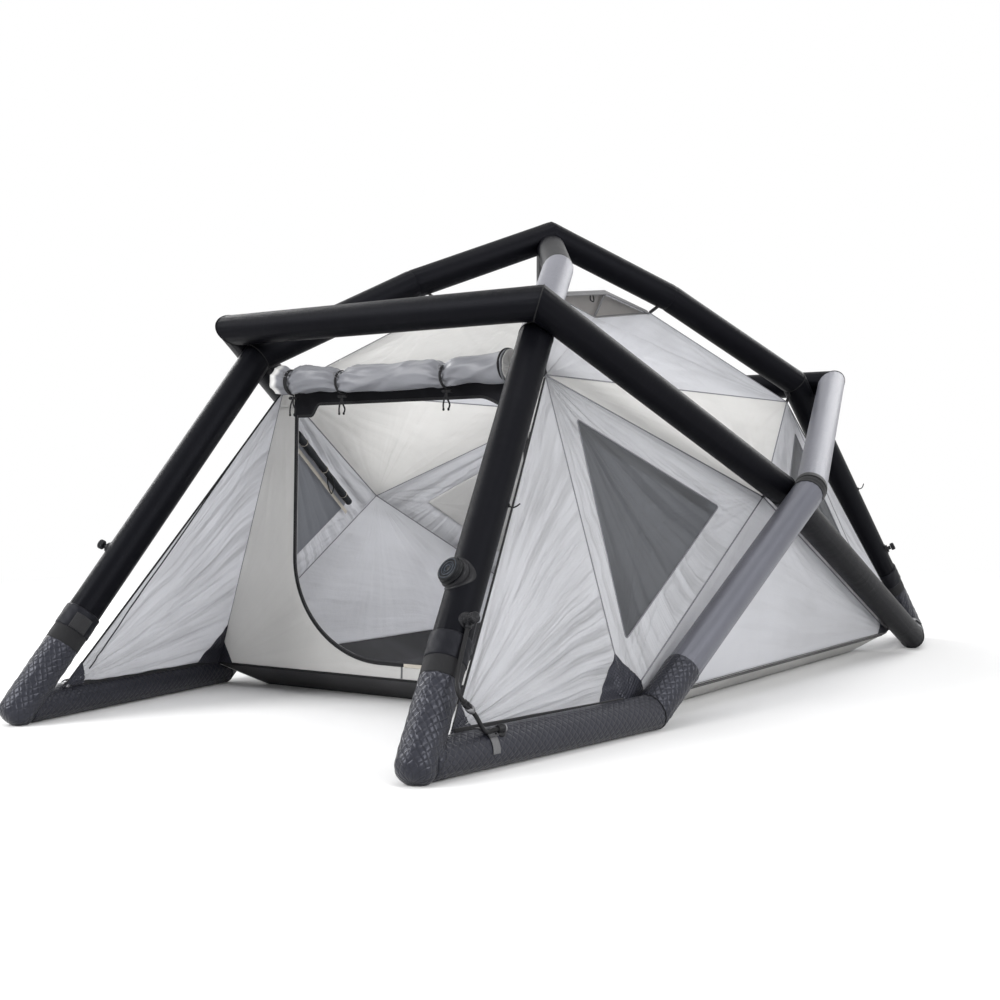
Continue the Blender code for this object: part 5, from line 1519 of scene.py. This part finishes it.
def build_door_ties():
    """Elastic bands with toggles round the roll, each with two dangling ends."""
    wall = Wall()
    for count, tie in enumerate(TIES, 1):
        wide = 0.011 if count == 1 else 0.007
        full, hang = roll_shape(np.array(tie))
        centre, reach = vec(tie, *ROLL_PLACE[1:]) - vec(0, 0, hang), float(full) + 0.0030
        spoke = spokes(full_turn(64)[:-1, None], vec(0, 1, 0), vec(0, 0, 1))
        trim = Trim().tape(centre + spoke * reach, spoke, wide, 0.0022, closed=True)
        low = centre - wall.up * (reach + 0.007)
        bar = line(-1, 1, 24)[:, None]
        size = 0.0040 - 0.0012 * np.exp(-((bar[:, 0] / 0.25) ** 2)) - 0.0008 * np.abs(bar[:, 0]) ** 6
        trim.cord(low + bar * 0.0125 * wall.across, 1.0, size=size)
        trim.cord(line(low + wall.up * 0.008, low + wall.up * 0.001, 5), 0.0016)
        for side in (-1, 1):
            stops = [low + vec(*step) for step in ((0, 0, 0), (side * 0.004, -0.004, -0.016),
                                                   (side * 0.009, -0.002, -0.030),
                                                   (side * 0.007, -0.004, -0.041))]
            trim.tape(smooth_route(stops, 5), (0.3, -1, 0), 0.0042, 0.0014)
            trim.add(pebble(stops[-1], np.eye(3), (0.0028, 0.0016, 0.0034), 3.0, 8, 16))
        trim.finish(f"door_tie_{count}_band", "black_webbing", replaces=[f"door_tie_{count}"])
        ring = Trim().ring(centre + vec(0.2 * wide, -0.83, 0.56) * (reach + 0.0025), (0.9, -0.35, 0.2),
                           0.0062, 0.0010, 28)
        ring.finish(f"door_tie_{count}_ring", "dark_metal")


def smooth_route(knots, steps):
    """Points on a curve through the knots: each stretch a cubic whose handles lie along its
    neighbours' chord, a sixth of it away."""
    knots = [np.asarray(knot, float) for knot in knots]
    share = np.linspace(0, 1, steps + 1)[1:, None]
    route = [knots[:1]]
    for index, (start, end) in enumerate(zip(knots, knots[1:])):
        before, after = knots[max(index - 1, 0)], knots[min(index + 2, len(knots) - 1)]
        first, last = start + (end - before) / 6, end - (after - start) / 6
        route.append((1 - share) ** 3 * start + 3 * (1 - share) ** 2 * share * first
                     + 3 * (1 - share) * share**2 * last + share**3 * end)
    return np.concatenate(route)


# Valves and fittings

# Turned profiles: radius and height in millimetres, and a flute depth where there is one
BIG_BASE = ((29.5, 26), (30.8, 34), (30.8, 39.2), (29.6, 41.2), (27.5, 42), (26.8, 42.6), (21.5, 42.6),
            (20.8, 43.6), (20.8, 54), (19.5, 54.6))
BIG_CAP = ((5, 56.2), (5.6, 57.4), (8.2, 57.4), (8.8, 56), (12.5, 56), (13.1, 57.5), (16, 57.5),
           (16.6, 56.2), (18.5, 56.2), (19.1, 57.6), (22.2, 57.8), (24.8, 56.6), (26, 54.4),
           (25.9, 52.2, 0.6), (25.9, 49.8, 0.6), (26.8, 49), (28.2, 48.2), (28.4, 45.4), (27.6, 43.2),
           (21.3, 43.2), (21.3, 55))
SMALL_BASE = ((11.8, 32), (12, 42), (11.2, 43.4), (6.2, 43.6), (5.9, 44.6), (5.9, 51.2), (5, 51.4))
SMALL_KNOB = ((4.5, 63.5), (5.2, 64.3), (9, 64.3), (10.6, 62.9), (10.6, 61.3, 0.5), (10.6, 54.9, 0.5),
              (10.6, 53.1), (9.2, 51.9))
HOSE_SPIGOT = ((5, 0), (5, 6), (5, 10.5), (6.2, 10.8), (5.6, 15), (6.2, 15.4), (5.6, 20))
CONNECTOR = ((4.6, -19), (6.2, -17), (6.2, -13), (4.8, -12), (6.8, -10), (6.8, -4), (5.6, -3), (5.6, 0))
CONNECTOR_SLEEVE = ((4.4, 0), (7.2, 1), (7.8, 3, 0.3), (7.8, 10, 0.3), (6.6, 12), (6.6, 16), (4.6, 19))
BARB = ((4.8, -11), (7.5, -9.68), (5.8, -5.5), (7.5, -4.84), (5.8, -0.66), (7.5, 0), (7.5, 6.6),
        (6.4, 7.48), (6.4, 10.12), (5, 11))
BARB_COLLAR = ((7.1, 5.28), (8.2, 5.94), (8.2, 7.92), (7, 8.8))
FITTING_SEAT = ((12.5, 33), (12.5, 39), (11.5, 40), (7.2, 40.4), (6.6, 41.5), (6.6, 47), (0, 47.5))
HOOK_SEAT = ((4.2, 0), (4, 3), (2, 3.6))
STUD = ((9, -2), (9.4, 3), (7, 8), (3.5, 10), (0, 10.4))
CUFF_REACH = TUBE_RADIUS + 0.0062
CUFF_TAB = (FOOT_SLEEVE + 0.034, FOOT_SLEEVE + 0.070)


def leg_place(end, sign, distance, towards):
    """A point on a leg's axis, the leg's direction and the way out that is nearest towards."""
    at = frame_points(sign)
    foot = at[f"foot_{end}"]
    along = unit(at[f"shoulder_{end}"] - foot)
    out = unit(vec(*towards) - along * (vec(*towards) @ along))
    return foot + along * distance, along, out


def saddle_disc(centre, along, out, radius, lift, steps=18):
    """A disc welded on a tube: every point lies on the tube, lifted, and the edge rounds off."""
    share = np.r_[0, np.linspace(0.1, 0.94, steps), 0.98, 1.0, 1.0][:, None]
    rise = lift * np.r_[1, np.ones(steps), 0.8, 0.3, -1.2][:, None]
    turn = full_turn(48)
    x, y = share * radius * np.cos(turn), share * radius * np.sin(turn)
    ripple = 0.0004 * np.cos(turn * 16) * np.exp(-((share - 0.8) / 0.1) ** 2)
    height = np.sqrt((TUBE_RADIUS + rise + ripple) ** 2 - y**2)
    axes = np.array([along, np.cross(out, along), out])
    return centre + np.stack([x, y, height], -1) @ axes, paired(x, y)


def build_big_valve():
    """The large valve: welded flange, collar with ribs, and the ringed screw cap."""
    centre, along, out = leg_place("front", 1, *VALVES["big"])
    base = Trim().add(saddle_disc(centre, along, out, 0.0350, 0.0016))
    base.turned(BIG_BASE, centre, out, sides=72)
    base.finish("valve_body_detail", "black_plastic", "valve_black", replaces=["valve_body"])
    lid = Trim().turned(BIG_CAP, centre, out, sides=160, flutes=40)
    lid.finish("valve_cap_detail", "cap_plastic", "valve_blue_black", "valve_cap", ["valve_cap"])
    mark = Trim()
    for reach, height in ((0.0069, 0.0574), (0.0107, 0.0560), (0.0146, 0.0575), (0.0206, 0.0577)):
        mark.ring(centre + out * height, out, reach, 0.0006, 60)
    mark.finish("valve_cap_rings", "cap_sheen", "valve_blue_black", "valve_cap")


def build_small_valve(name, end, sign):
    """A small stop valve: welded flange, base, neck and a knob with grip flutes."""
    centre, along, out = leg_place(end, sign, *VALVES[name])
    base = Trim().add(saddle_disc(centre, along, out, 0.0170, 0.0014, 10))
    base.turned(SMALL_BASE, centre, out, sides=48)
    if name == "link":
        base.turned(HOSE_SPIGOT, centre + out * HOSE_REACH, -along, sides=32)
    base.finish(f"{name}_valve_base_detail", "black_plastic", "valve_black",
                replaces=[f"{name}_valve_base"])
    turn = Trim().turned(SMALL_KNOB, centre, out, sides=96, flutes=16)
    turn.finish(f"{name}_valve_knob_detail", "black_plastic", "valve_black", f"{name}_valve_knob",
                [f"{name}_valve_knob"])


def hose_route():
    """The hose's points: down the leg, over the cuff and round to the ground tube."""
    at = frame_points(1)
    foot = at["foot_front"]
    _, up, out = leg_place("front", 1, *VALVES["link"])
    stops = ((VALVES["link"][0] - 0.0123, HOSE_REACH), (FOOT_SLEEVE + CUFF, HOSE_REACH),
             (FOOT_SLEEVE, HOSE_REACH + 0.008), (0.115, TUBE_RADIUS + HOSE_RADIUS + 0.0355))
    knots = [foot + up * rise + out * reach for rise, reach in stops]
    along, length = unit(at["mid_front"] - foot), FITTING["length"]
    lean = FITTING["up"] * vec(0, 0, 1) + FITTING["aside"] * np.cross(along, vec(0, 0, 1))
    centre = foot + along * FITTING["place"] + lean * (PRESS_REACH + FITTING["radius"])
    approach = centre - along * length * 2
    knots += [knots[-1] + (approach - knots[-1]) * 0.55 + out * HOSE_RADIUS, approach,
              centre - along * length, centre - along * (length / 2 + 0.0003)]
    return smooth_route(knots, 5), centre, along, lean


def build_hose():
    """The hose, its quick connector half way and the barbed fitting where it enters the ground tube."""
    route, centre, along, lean = hose_route()
    hose = Trim().cord(route, HOSE_RADIUS, sides=20)
    hose = hose.finish("link_hose_tube", "rubber", "valve_black", replaces=["link_hose"])
    spot = int(np.argmin(np.abs(route[:, 2] - 0.128) + (np.arange(len(route)) < 12)))
    middle, axis = route[spot], unit(route[spot + 1] - route[spot - 1])
    aside = unit(np.cross(axis, vec(0, 0, 1)))
    dark = Trim().turned(CONNECTOR, middle, axis, sides=36)
    dark.add(pebble(middle + aside * 0.0070 - axis * 0.006, (axis, aside, vec(0, 0, 1)),
                    (0.008, 0.0022, 0.0035), 3.0))
    dark = dark.finish("hose_connector_body", "black_plastic", "valve_black")
    bright = Trim().turned(CONNECTOR_SLEEVE, middle, axis, sides=96)
    bright = bright.finish("hose_connector_ring", "bright_metal", "fitting_metal")
    fitting = Trim().turned(BARB, centre, along)
    fitting.turned(FITTING_SEAT, centre - lean * (PRESS_REACH + FITTING["radius"]), lean)
    fitting.finish("hose_fitting_detail", "black_plastic", "fitting_metal", replaces=["hose_fitting"])
    Trim().turned(BARB_COLLAR, centre, along).finish("hose_fitting_collar", "bright_metal",
                                                     "fitting_metal")


def build_corner_straps():
    """Webbing from the inner tent's corners to the tubes, and the tabs that peg the wing tips."""
    for mark, sign in SIDES:
        at = frame_points(sign)
        straps = Trim()
        for name in (f"{bend}_{end}" for end in ENDS for bend in ("shoulder", "bend")):
            corner, bend = tent_place(name, sign), at[name]
            reach = bend + unit(corner - bend) * (TUBE_RADIUS + 0.001)
            facing = unit(np.cross(reach - corner, vec(0, 1, 0)))
            straps.tape(line(corner, reach, 8), facing, 0.016, 0.0024)
        peak, crossing = tent_place("peak", sign), at["side_inner"]
        straps.tape(line(peak, crossing + unit(peak - crossing) * (TUBE_RADIUS + 0.0008), 6), (0, 0, 1),
                    0.022, 0.0024)
        straps.finish(f"corner_straps_{mark}", "black_webbing")
        tabs, clips = Trim(), Trim()
        for end in ENDS:
            axis, up, across = tube_axes(at[f"foot_{end}"], at[f"mid_{end}"])
            middle = at[f"foot_{end}"] + axis * 0.164
            outer = 1 if across[0] * sign > 0 else -1
            spoke = spokes(np.radians(line(-38 * outer, 96 * outer, 29))[:, None], up, across)
            tabs.tape(grounded(middle + spoke * (TUBE_RADIUS + 0.0014)), spoke, 0.019, 0.0018)
            lean = unit(up * 0.80 + across * 0.60 * outer)
            aside = np.cross(axis, lean)
            seat = middle + lean * (TUBE_RADIUS + 0.0040)
            bars = [(axis * half * 0.0105, (0.0022, 0.0105, 0.0020)) for half in (-1, 1)]
            bars += [(aside * step * 0.0090, (0.0120, 0.0019, 0.0019)) for step in (-1, 0, 1)]
            for offset, halves in bars:
                clips.add(pebble(seat + offset, (axis, aside, lean), halves, 3.0, 8, 16))
        tabs.finish(f"wing_tabs_{mark}", "grey_webbing")
        clips.finish(f"wing_buckles_{mark}", "clear_plastic")


def build_leg_details():
    """Hooks that clip the wings to the legs, a hook-and-loop tab on each left leg's cuff and the feet's
    stitching.
    """
    for mark, sign in SIDES:
        at = frame_points(sign)
        hooks, thread, tabs = Trim(), Trim(), []
        for end in ENDS:
            foot = at[f"foot_{end}"]
            centre, along, out = leg_place(end, sign, 0.565, (0.82 * sign, 0.57, 0))
            skin = centre + out * (TUBE_RADIUS - 0.001)
            bent = [skin + out * reach + along * rise for reach, rise in
                    ((0, 0), (0.009, -0.003), (0.016, 0.001), (0.022, 0.009))]
            hooks.cord(smooth_route(bent, 6), 0.0015).turned(HOOK_SEAT, skin, out, sides=20)
            if mark == "left":
                _, along, out = leg_place(end, sign, 0, (-0.95 * sign, -0.5 if end == "front" else 0.5, 0))
                turn, rise = line(-0.50, 0.50, 15), line(CUFF_TAB[0], CUFF_TAB[1], 7)[:, None]
                spoke = spokes(turn[:, None], out, np.cross(along, out))
                tabs.append((foot + along * rise[..., None] + spoke * (CUFF_REACH - 0.0018),
                             paired(turn * CUFF_REACH, rise)))
            axis, up, across = tube_axes(foot, at[f"mid_{end}"])
            turn = np.radians(line(-118, 118, 60))[:, None]
            route = grounded(foot + spokes(turn, up, across) * (TUBE_RADIUS + 0.0008)
                             + axis * (0.030 + 0.022 * np.cos(turn)))
            for index in range(0, 60, 2):
                thread.cord(route[index:index + 2], 0.0005, sides=5)
        hooks.finish(f"leg_hooks_{mark}", "rubber")
        if tabs:
            add_cloth(f"cuff_tabs_{mark}", *zip(*tabs), "hook_tape", "webbing", 0.0022)
        thread.finish(f"foot_stitching_{mark}", "thread")
    at = frame_points(-1)
    axis, up, across = tube_axes(at["foot_front"], at["mid_front"])
    lean = unit(up * 0.87 + across * math.copysign(0.49, across[0]))
    seat = at["foot_front"] + axis * 0.120 + lean * TUBE_RADIUS
    Trim().turned(STUD, seat, lean, sides=36).finish("foot_stud", "bright_metal")


def build_vent():
    """The vent's net, its prop and the loop under its hood."""
    lip, hood, front, rear = (tent_place(n) for n in ("vent_lip", "vent_hood", "bend_front", "bend_rear"))
    inward = vec(-0.012, 0, 0)
    middle = (lip + hood) / 2
    ends = [middle + (end - middle) * 0.965 + inward for end in (front, rear)]
    low, high = lip + (hood - lip) * 0.04 + inward, hood + (lip - hood) * 0.04 + inward
    grid = ruled(*(along_line([ends[0], edge, ends[1]], 90) for edge in (low, high)), 18)
    facing = unit(np.cross(rear - front, hood - lip))
    grid = grid + (0.0012 * np.sin(grid[..., 1:2] * 70) * np.sin(line(0, math.pi, 18))[None, :, None]
                   * facing)
    net = add_cloth("vent_net", [grid], [grid[..., 1:]], "vent_mesh_net", "mesh_grey", 0.0008,
                    ["vent_mesh"])
    float(np.linalg.norm(high - low))
    grid_area([grid])
    rise, across = unit(hood - lip), unit(rear - front)
    outward = np.cross(across, rise)
    path = line(lip + rise * 0.0024, hood - rise * 0.0046, 14) - outward * 0.0010
    prop = Trim().tape(path, outward, 0.0118, 0.0019)
    prop.finish("vent_prop_strap", "grey_webbing", "webbing", "vent_prop", ["vent_prop"])
    hung = hood + (front - hood) * 0.24 - vec(0.010, 0, 0.004)
    hanging_loop("vent_loop", hung, ((0.004, -0.006, -0.014), (0.006, 0.006, -0.018),
                                     (0.002, 0.014, -0.010), (-0.002, 0.016, 0.0)), 6)


def hanging_loop(name, start, steps, count):
    """A loop of cord from a point through places given from it."""
    knots = [start, *(start + vec(*step) for step in steps)]
    Trim().cord(smooth_route(knots, count), 0.0016).finish(name, "rubber")


def build_window_ties():
    """A cord loop that hangs inside, below the left front window's rolled cover."""
    top, foot, peak = window_corners("front", -1)
    hang = top + (peak - top) * 0.55 + outward_normal(top, foot, peak) * -0.020
    hanging_loop("window_loop", hang, ((0.004, 0, -0.030), (0.010, 0.006, -0.052),
                                       (0.020, 0.004, -0.030), (0.014, 0, -0.002)), 8)


# Stage


def build_stage():
    """A pale floor that fades to white away from the tent, a white world and soft lamps."""
    bpy.context.scene.view_settings.view_transform = "Standard"
    build_world()
    ground_plane()
    inner_lamp()
    [area_lamp(*entry) for entry in LAMPS]


def ground_plane():
    """The floor: pale near the tent, and glowing white far from it where the camera sees it."""
    mesh = bpy.data.meshes.new("floor")
    corners = [(x * FLOOR_REACH, y * FLOOR_REACH, 0) for x, y in ((-1, -1), (1, -1), (1, 1), (-1, 1))]
    mesh.from_pydata(corners, [], [(0, 1, 2, 3)])
    made = Shader(Base_Color=(0.90, 0.90, 0.90, 1.0), Roughness=0.9)
    made.material.name = "floor_white"
    distance = made.node("ShaderNodeVectorMath", {"operation": "LENGTH"}, [made.place()])["Value"]
    far = distance.ramp(1.6, 4.5)
    rays = made.node("ShaderNodeLightPath")
    seen = rays["Is Camera Ray"].most(rays["Is Glossy Ray"]).most(rays["Is Transmission Ray"])
    glow = made.tree.nodes.new("ShaderNodeEmission")
    glow.inputs["Color"].default_value = (1, 1, 1, 1)
    mix_shaders(made.tree, (far * seen).link, made.surface.outputs["BSDF"], glow.outputs["Emission"])
    mesh.materials.append(made.material)
    return in_scene("floor", mesh)


def build_world():
    """White surroundings: plain white where they are seen, dimmer where they light the tent."""
    world = bpy.data.worlds.new("studio")
    bpy.context.scene.world = world
    world.use_nodes = True
    tree = world.node_tree
    light, backdrop = tree.nodes["Background"], tree.nodes.new("ShaderNodeBackground")
    light.inputs["Strength"].default_value = looks().ambient
    for background in (light, backdrop):
        background.inputs["Color"].default_value = (1, 1, 1, 1)
    path, either = tree.nodes.new("ShaderNodeLightPath"), tree.nodes.new("ShaderNodeMath")
    either.operation = "MAXIMUM"
    for socket, ray in enumerate(("Is Camera Ray", "Is Glossy Ray")):
        tree.links.new(path.outputs[ray], either.inputs[socket])
    mix_shaders(tree, either.outputs[0], light.outputs["Background"], backdrop.outputs["Background"])


def look_matrix(right, up, back, where):
    """A matrix whose columns are three directions and a place."""
    matrix = Matrix.Identity(4)
    for column, axis in enumerate((right, up, back)):
        for row in range(3):
            matrix[row][column] = axis[row]
    matrix.translation = where
    return matrix


def area_lamp(name, where, size, power):
    """A soft square lamp that looks at the tent's middle."""
    data = bpy.data.lights.new(name, "AREA")
    data.size, data.energy = size, power
    lamp = in_scene(name, data)
    toward = unit(vec(*where) - vec(0, 0, 0.5))
    side = unit(np.cross(vec(0, 0, 1), toward))
    lamp.matrix_world = look_matrix(side, np.cross(toward, side), toward, where)
    return lamp


def inner_lamp():
    """A soft point of light inside, for the daylight that comes through the pale cloth."""
    data = bpy.data.lights.new("inside", "POINT")
    data.shadow_soft_size, data.energy = 0.25, looks().inside
    lamp = in_scene("inside", data)
    lamp.location = INSIDE
    lamp.visible_camera = False
    return lamp


def build_camera():
    """The camera at the photograph's place and angle."""
    yaw, pitch, roll = CAMERA_YAW, CAMERA_PITCH, CAMERA_ROLL
    forward = vec(math.sin(yaw) * math.cos(pitch), math.cos(yaw) * math.cos(pitch), math.sin(pitch))
    right = vec(math.cos(yaw), -math.sin(yaw), 0)
    up = np.cross(right, forward)
    turned_right = right * math.cos(roll) + up * math.sin(roll)
    turned_up = up * math.cos(roll) - right * math.sin(roll)
    data = bpy.data.cameras.new("photo_view")
    data.sensor_width = SENSOR_WIDTH
    data.lens = SENSOR_WIDTH * CAMERA_LENS_PIXELS / IMAGE_PIXELS
    data.clip_end = 200.0
    camera = in_scene("photo_view", data)
    camera.matrix_world = look_matrix(turned_right, turned_up, -forward, CAMERA_PLACE)
    bpy.context.scene.camera = camera


# Add-on


def colour_property(name, words, default):
    return FloatVectorProperty(name=name, description=words, default=default, size=3, min=0.0, max=1.0,
                               subtype="COLOR")


class TentLooks(bpy.types.PropertyGroup):
    crease_depth: FloatProperty(name="Crease depth", description="Height of the folds in the cloth",
                                default=0.0068, min=0.0, max=0.02, unit="LENGTH")
    quilt_pitch: FloatProperty(name="Quilt pitch", description="Width of one quilted diamond",
                               default=0.0178, min=0.004, max=0.05, unit="LENGTH")
    ripstop: FloatProperty(name="Ripstop pitch", description="Spacing of the ripstop grid",
                           default=0.0060, min=0.001, max=0.02, unit="LENGTH")
    ambient: FloatProperty(name="Ambient light", description="Strength of the white surroundings",
                           default=0.55, min=0.0, max=3.0)
    inside: FloatProperty(name="Light inside", description="Strength of the daylight inside the tent",
                          default=10.5, min=0.0, max=50.0, unit="POWER")
    black: colour_property("Sleeves", "Colour of the black air-tube sleeves", (0.0026, 0.0027, 0.0040))
    quilt: colour_property("Quilted sleeves", "Colour of the quilted reinforcements",
                           (0.0130, 0.0136, 0.0190))
    grey: colour_property("Hoop, low", "Colour of the hoop's lower tubes", (0.098, 0.100, 0.118))
    # The pale hoop colour is the grey one made lighter as painted sunlight; it also paints the front right
    # arch's lower stretch.
    pale: colour_property("Hoop, high", "Colour of the hoop's upper tubes", (0.150, 0.152, 0.176))
    silver: colour_property("Silver cloth", "Colour of the wings and sides", (0.735, 0.740, 0.765))
    cream: colour_property("Cream cloth", "Colour of the front wall and the roof",
                           (0.815, 0.810, 0.798))
    roll: colour_property("Rolled door", "Colour of the rolled-up door", (0.200, 0.205, 0.226))
    net: colour_property("Window net", "Colour of the window net", (0.105, 0.108, 0.115))


def looks():
    return bpy.context.scene.tent_looks


def finish(name):
    """The material of that name, made the first time it is asked for."""
    if name not in bpy.data.materials:
        FINISHES[name]().name = name
    return bpy.data.materials[name]


BLACK_TRIM = (0.0070, 0.0070, 0.0085)
FINISHES = {
    "sleeve": lambda: sleeve_material(looks().black, roughness=0.40, gloss=0.07),
    "quilted": lambda: quilted_material(looks().quilt, looks().quilt_pitch),
    "gusset": lambda: quilted_material(shade(looks().quilt, 1.2), looks().quilt_pitch * 0.55),
    "cuff": lambda: sleeve_material(shade(looks().black, 1.2), roughness=0.46, gloss=0.18),
    "grey": lambda: sleeve_material(looks().grey, roughness=0.33, gloss=0.55),
    # Painted sunlight: the pale sleeve is a lit copy of the grey one.
    "pale": lambda: sleeve_material(looks().pale, roughness=0.38, gloss=0.45),
    "welt": lambda: webbing_material((0.0060, 0.0060, 0.0070)),
    "seam": lambda: webbing_material((0.20, 0.20, 0.22)),
    "black_tape": lambda: tape_material(BLACK_TRIM, (0.05, 0.05, 0.052), 0.014),
    "grey_tape": lambda: tape_material((0.13, 0.13, 0.135), (0.24, 0.24, 0.24), 0.012),
    "cream_tape": lambda: tape_material((0.50, 0.46, 0.40), (0.6, 0.56, 0.5), 0.012),
    "wing_cloth": lambda: cloth_material(looks().silver, 1.0),
    "side_cloth": lambda: cloth_material(looks().silver, 0.85),
    "silver_cloth": lambda: cloth_material(looks().silver, 0.25),
    "cream_cloth": lambda: cloth_material(looks().cream, 0.12),
    "roll_cloth": lambda: roll_material(looks().roll, looks().cream),
    "dark_cloth": lambda: sleeve_material((0.022, 0.024, 0.027)),
    "black_cloth": lambda: sleeve_material(BLACK_TRIM),
    "groundsheet": lambda: floor_material((0.030, 0.030, 0.033)),
    "window_net": lambda: mesh_material(looks().net, shade(looks().net, 1.9)),
    "vent_mesh_net": lambda: mesh_material((0.16, 0.16, 0.16), (0.34, 0.33, 0.32)),
    "black_webbing": lambda: webbing_material((0.0085, 0.0085, 0.010)),
    "grey_webbing": lambda: webbing_material((0.14, 0.14, 0.145)),
    "hook_tape": lambda: webbing_material((0.020, 0.020, 0.022), 0.0011),
    "thread": lambda: webbing_material((0.050, 0.050, 0.054), 0.0008),
    "zip_coil": lambda: coil_material((0.030, 0.030, 0.033)),
    "rubber": lambda: plastic_material((0.010, 0.010, 0.011), 0.42),
    "black_plastic": lambda: plastic_material((0.014, 0.014, 0.016), 0.34),
    "cap_plastic": lambda: plastic_material((0.0045, 0.0050, 0.0065), 0.30),
    "cap_sheen": lambda: plastic_material((0.030, 0.042, 0.060), 0.26),
    "clear_plastic": lambda: plastic_material((0.055, 0.056, 0.060), 0.26),
    "dark_metal": lambda: metal_material((0.20, 0.20, 0.21), 0.32),
    "bright_metal": lambda: metal_material((0.24, 0.24, 0.25), 0.30),
}


class TENT_OT_legs(bpy.types.Operator):
    """Build the four legs with their quilted feet, cuffs and straps"""
    bl_idname = "tent.legs"
    bl_label = "Legs"

    def execute(self, context):
        for part in PARTS:
            build_leg(*part)
        build_leg_details()
        return {"FINISHED"}


class TENT_OT_arches(bpy.types.Operator):
    """Build the two air-tube arches that cross at the apex"""
    bl_idname = "tent.arches"
    bl_label = "Arches"

    def execute(self, context):
        for part in PARTS:
            build_arch(*part)
        return {"FINISHED"}


class TENT_OT_loops(bpy.types.Operator):
    """Build the front loop and the grey rear hoop"""
    bl_idname = "tent.loops"
    bl_label = "Loops"

    def execute(self, context):
        for mark, sign in SIDES:
            build_loop_side(mark, sign)
        for end in ENDS:
            build_brow(end)
        return {"FINISHED"}


class TENT_OT_ground_tubes(bpy.types.Operator):
    """Build the four quilted tubes on the ground"""
    bl_idname = "tent.ground_tubes"
    bl_label = "Ground tubes"

    def execute(self, context):
        for part in PARTS:
            build_ground_tube(*part)
        return {"FINISHED"}


class TENT_OT_welts(bpy.types.Operator):
    """Sew welts round the tube bends and bind the grey hoop"""
    bl_idname = "tent.welts"
    bl_label = "Welts and bands"

    def execute(self, context):
        build_welts()
        return {"FINISHED"}


class TENT_OT_wings(bpy.types.Operator):
    """Build the four wings, their bindings and gussets"""
    bl_idname = "tent.wings"
    bl_label = "Wings"

    def execute(self, context):
        for part in PARTS:
            build_wing(*part)
        return {"FINISHED"}


class TENT_OT_sides(bpy.types.Operator):
    """Build the side panels, their windows and the window covers"""
    bl_idname = "tent.sides"
    bl_label = "Sides and windows"

    def execute(self, context):
        for mark, sign in SIDES:
            for end in ENDS:
                build_side_triangle(end, mark, sign)
            build_side_foot(mark, sign)
            build_side_top(mark, sign)
            build_window_covers(mark, sign)
        build_window_ties()
        return {"FINISHED"}


class TENT_OT_roof(bpy.types.Operator):
    """Build the roof's slopes and its peaked top"""
    bl_idname = "tent.roof"
    bl_label = "Roof"

    def execute(self, context):
        build_roof_slopes()
        build_roof_top()
        build_seams()
        return {"FINISHED"}


class TENT_OT_walls(bpy.types.Operator):
    """Build the front wall with its doorway, the rear wall and the groundsheet"""
    bl_idname = "tent.walls"
    bl_label = "Walls and floor"

    def execute(self, context):
        build_floor()
        build_front_wall()
        build_rear_wall()
        return {"FINISHED"}


class TENT_OT_door(bpy.types.Operator):
    """Build the rolled-up door, its ties and the zip's slider and pull"""
    bl_idname = "tent.door"
    bl_label = "Rolled door"

    def execute(self, context):
        build_roll()
        build_door_ties()
        build_zip_slider()
        return {"FINISHED"}


class TENT_OT_vent(bpy.types.Operator):
    """Build the roof vent's net, prop and loop"""
    bl_idname = "tent.vent"
    bl_label = "Vent"

    def execute(self, context):
        build_vent()
        return {"FINISHED"}


class TENT_OT_valves(bpy.types.Operator):
    """Build the valves, the hose and its connectors"""
    bl_idname = "tent.valves"
    bl_label = "Valves and hose"

    def execute(self, context):
        build_hose()
        build_big_valve()
        for name, end, sign in (("link", "front", 1), ("left", "front", -1), ("rear", "rear", 1)):
            build_small_valve(name, end, sign)
        return {"FINISHED"}


class TENT_OT_straps(bpy.types.Operator):
    """Sew the corner straps and the wing tabs with their buckles"""
    bl_idname = "tent.straps"
    bl_label = "Straps and buckles"

    def execute(self, context):
        build_corner_straps()
        return {"FINISHED"}


class TENT_OT_stage(bpy.types.Operator):
    """Set the floor, the light and the camera at the photograph's place"""
    bl_idname = "tent.stage"
    bl_label = "Stage"

    def execute(self, context):
        build_stage()
        build_camera()
        return {"FINISHED"}


OPERATORS = (TENT_OT_stage, TENT_OT_legs, TENT_OT_arches, TENT_OT_loops, TENT_OT_ground_tubes,
             TENT_OT_welts, TENT_OT_wings, TENT_OT_sides, TENT_OT_roof, TENT_OT_walls, TENT_OT_door,
             TENT_OT_vent, TENT_OT_valves, TENT_OT_straps)


class TENT_PT_looks(bpy.types.Panel):
    """Sizes, colours and builders of the tent's looks"""
    bl_idname = "TENT_PT_looks"
    bl_label = "Inflatable Tent"
    bl_space_type = "VIEW_3D"
    bl_region_type = "UI"
    bl_category = "Tent"

    def draw(self, context):
        for name in TentLooks.__annotations__:
            self.layout.prop(context.scene.tent_looks, name)
        for operator in OPERATORS:
            self.layout.operator(operator.bl_idname)


def register():
    for kind in (TentLooks, *OPERATORS, TENT_PT_looks):
        bpy.utils.register_class(kind)
    bpy.types.Scene.tent_looks = PointerProperty(type=TentLooks)


def unregister():
    del bpy.types.Scene.tent_looks
    for kind in reversed((TentLooks, *OPERATORS, TENT_PT_looks)):
        bpy.utils.unregister_class(kind)


def main():
    register()
    for operator in OPERATORS:
        group, name = operator.bl_idname.split(".")
        getattr(getattr(bpy.ops, group), name)()


if __name__ == "__main__":
    main()
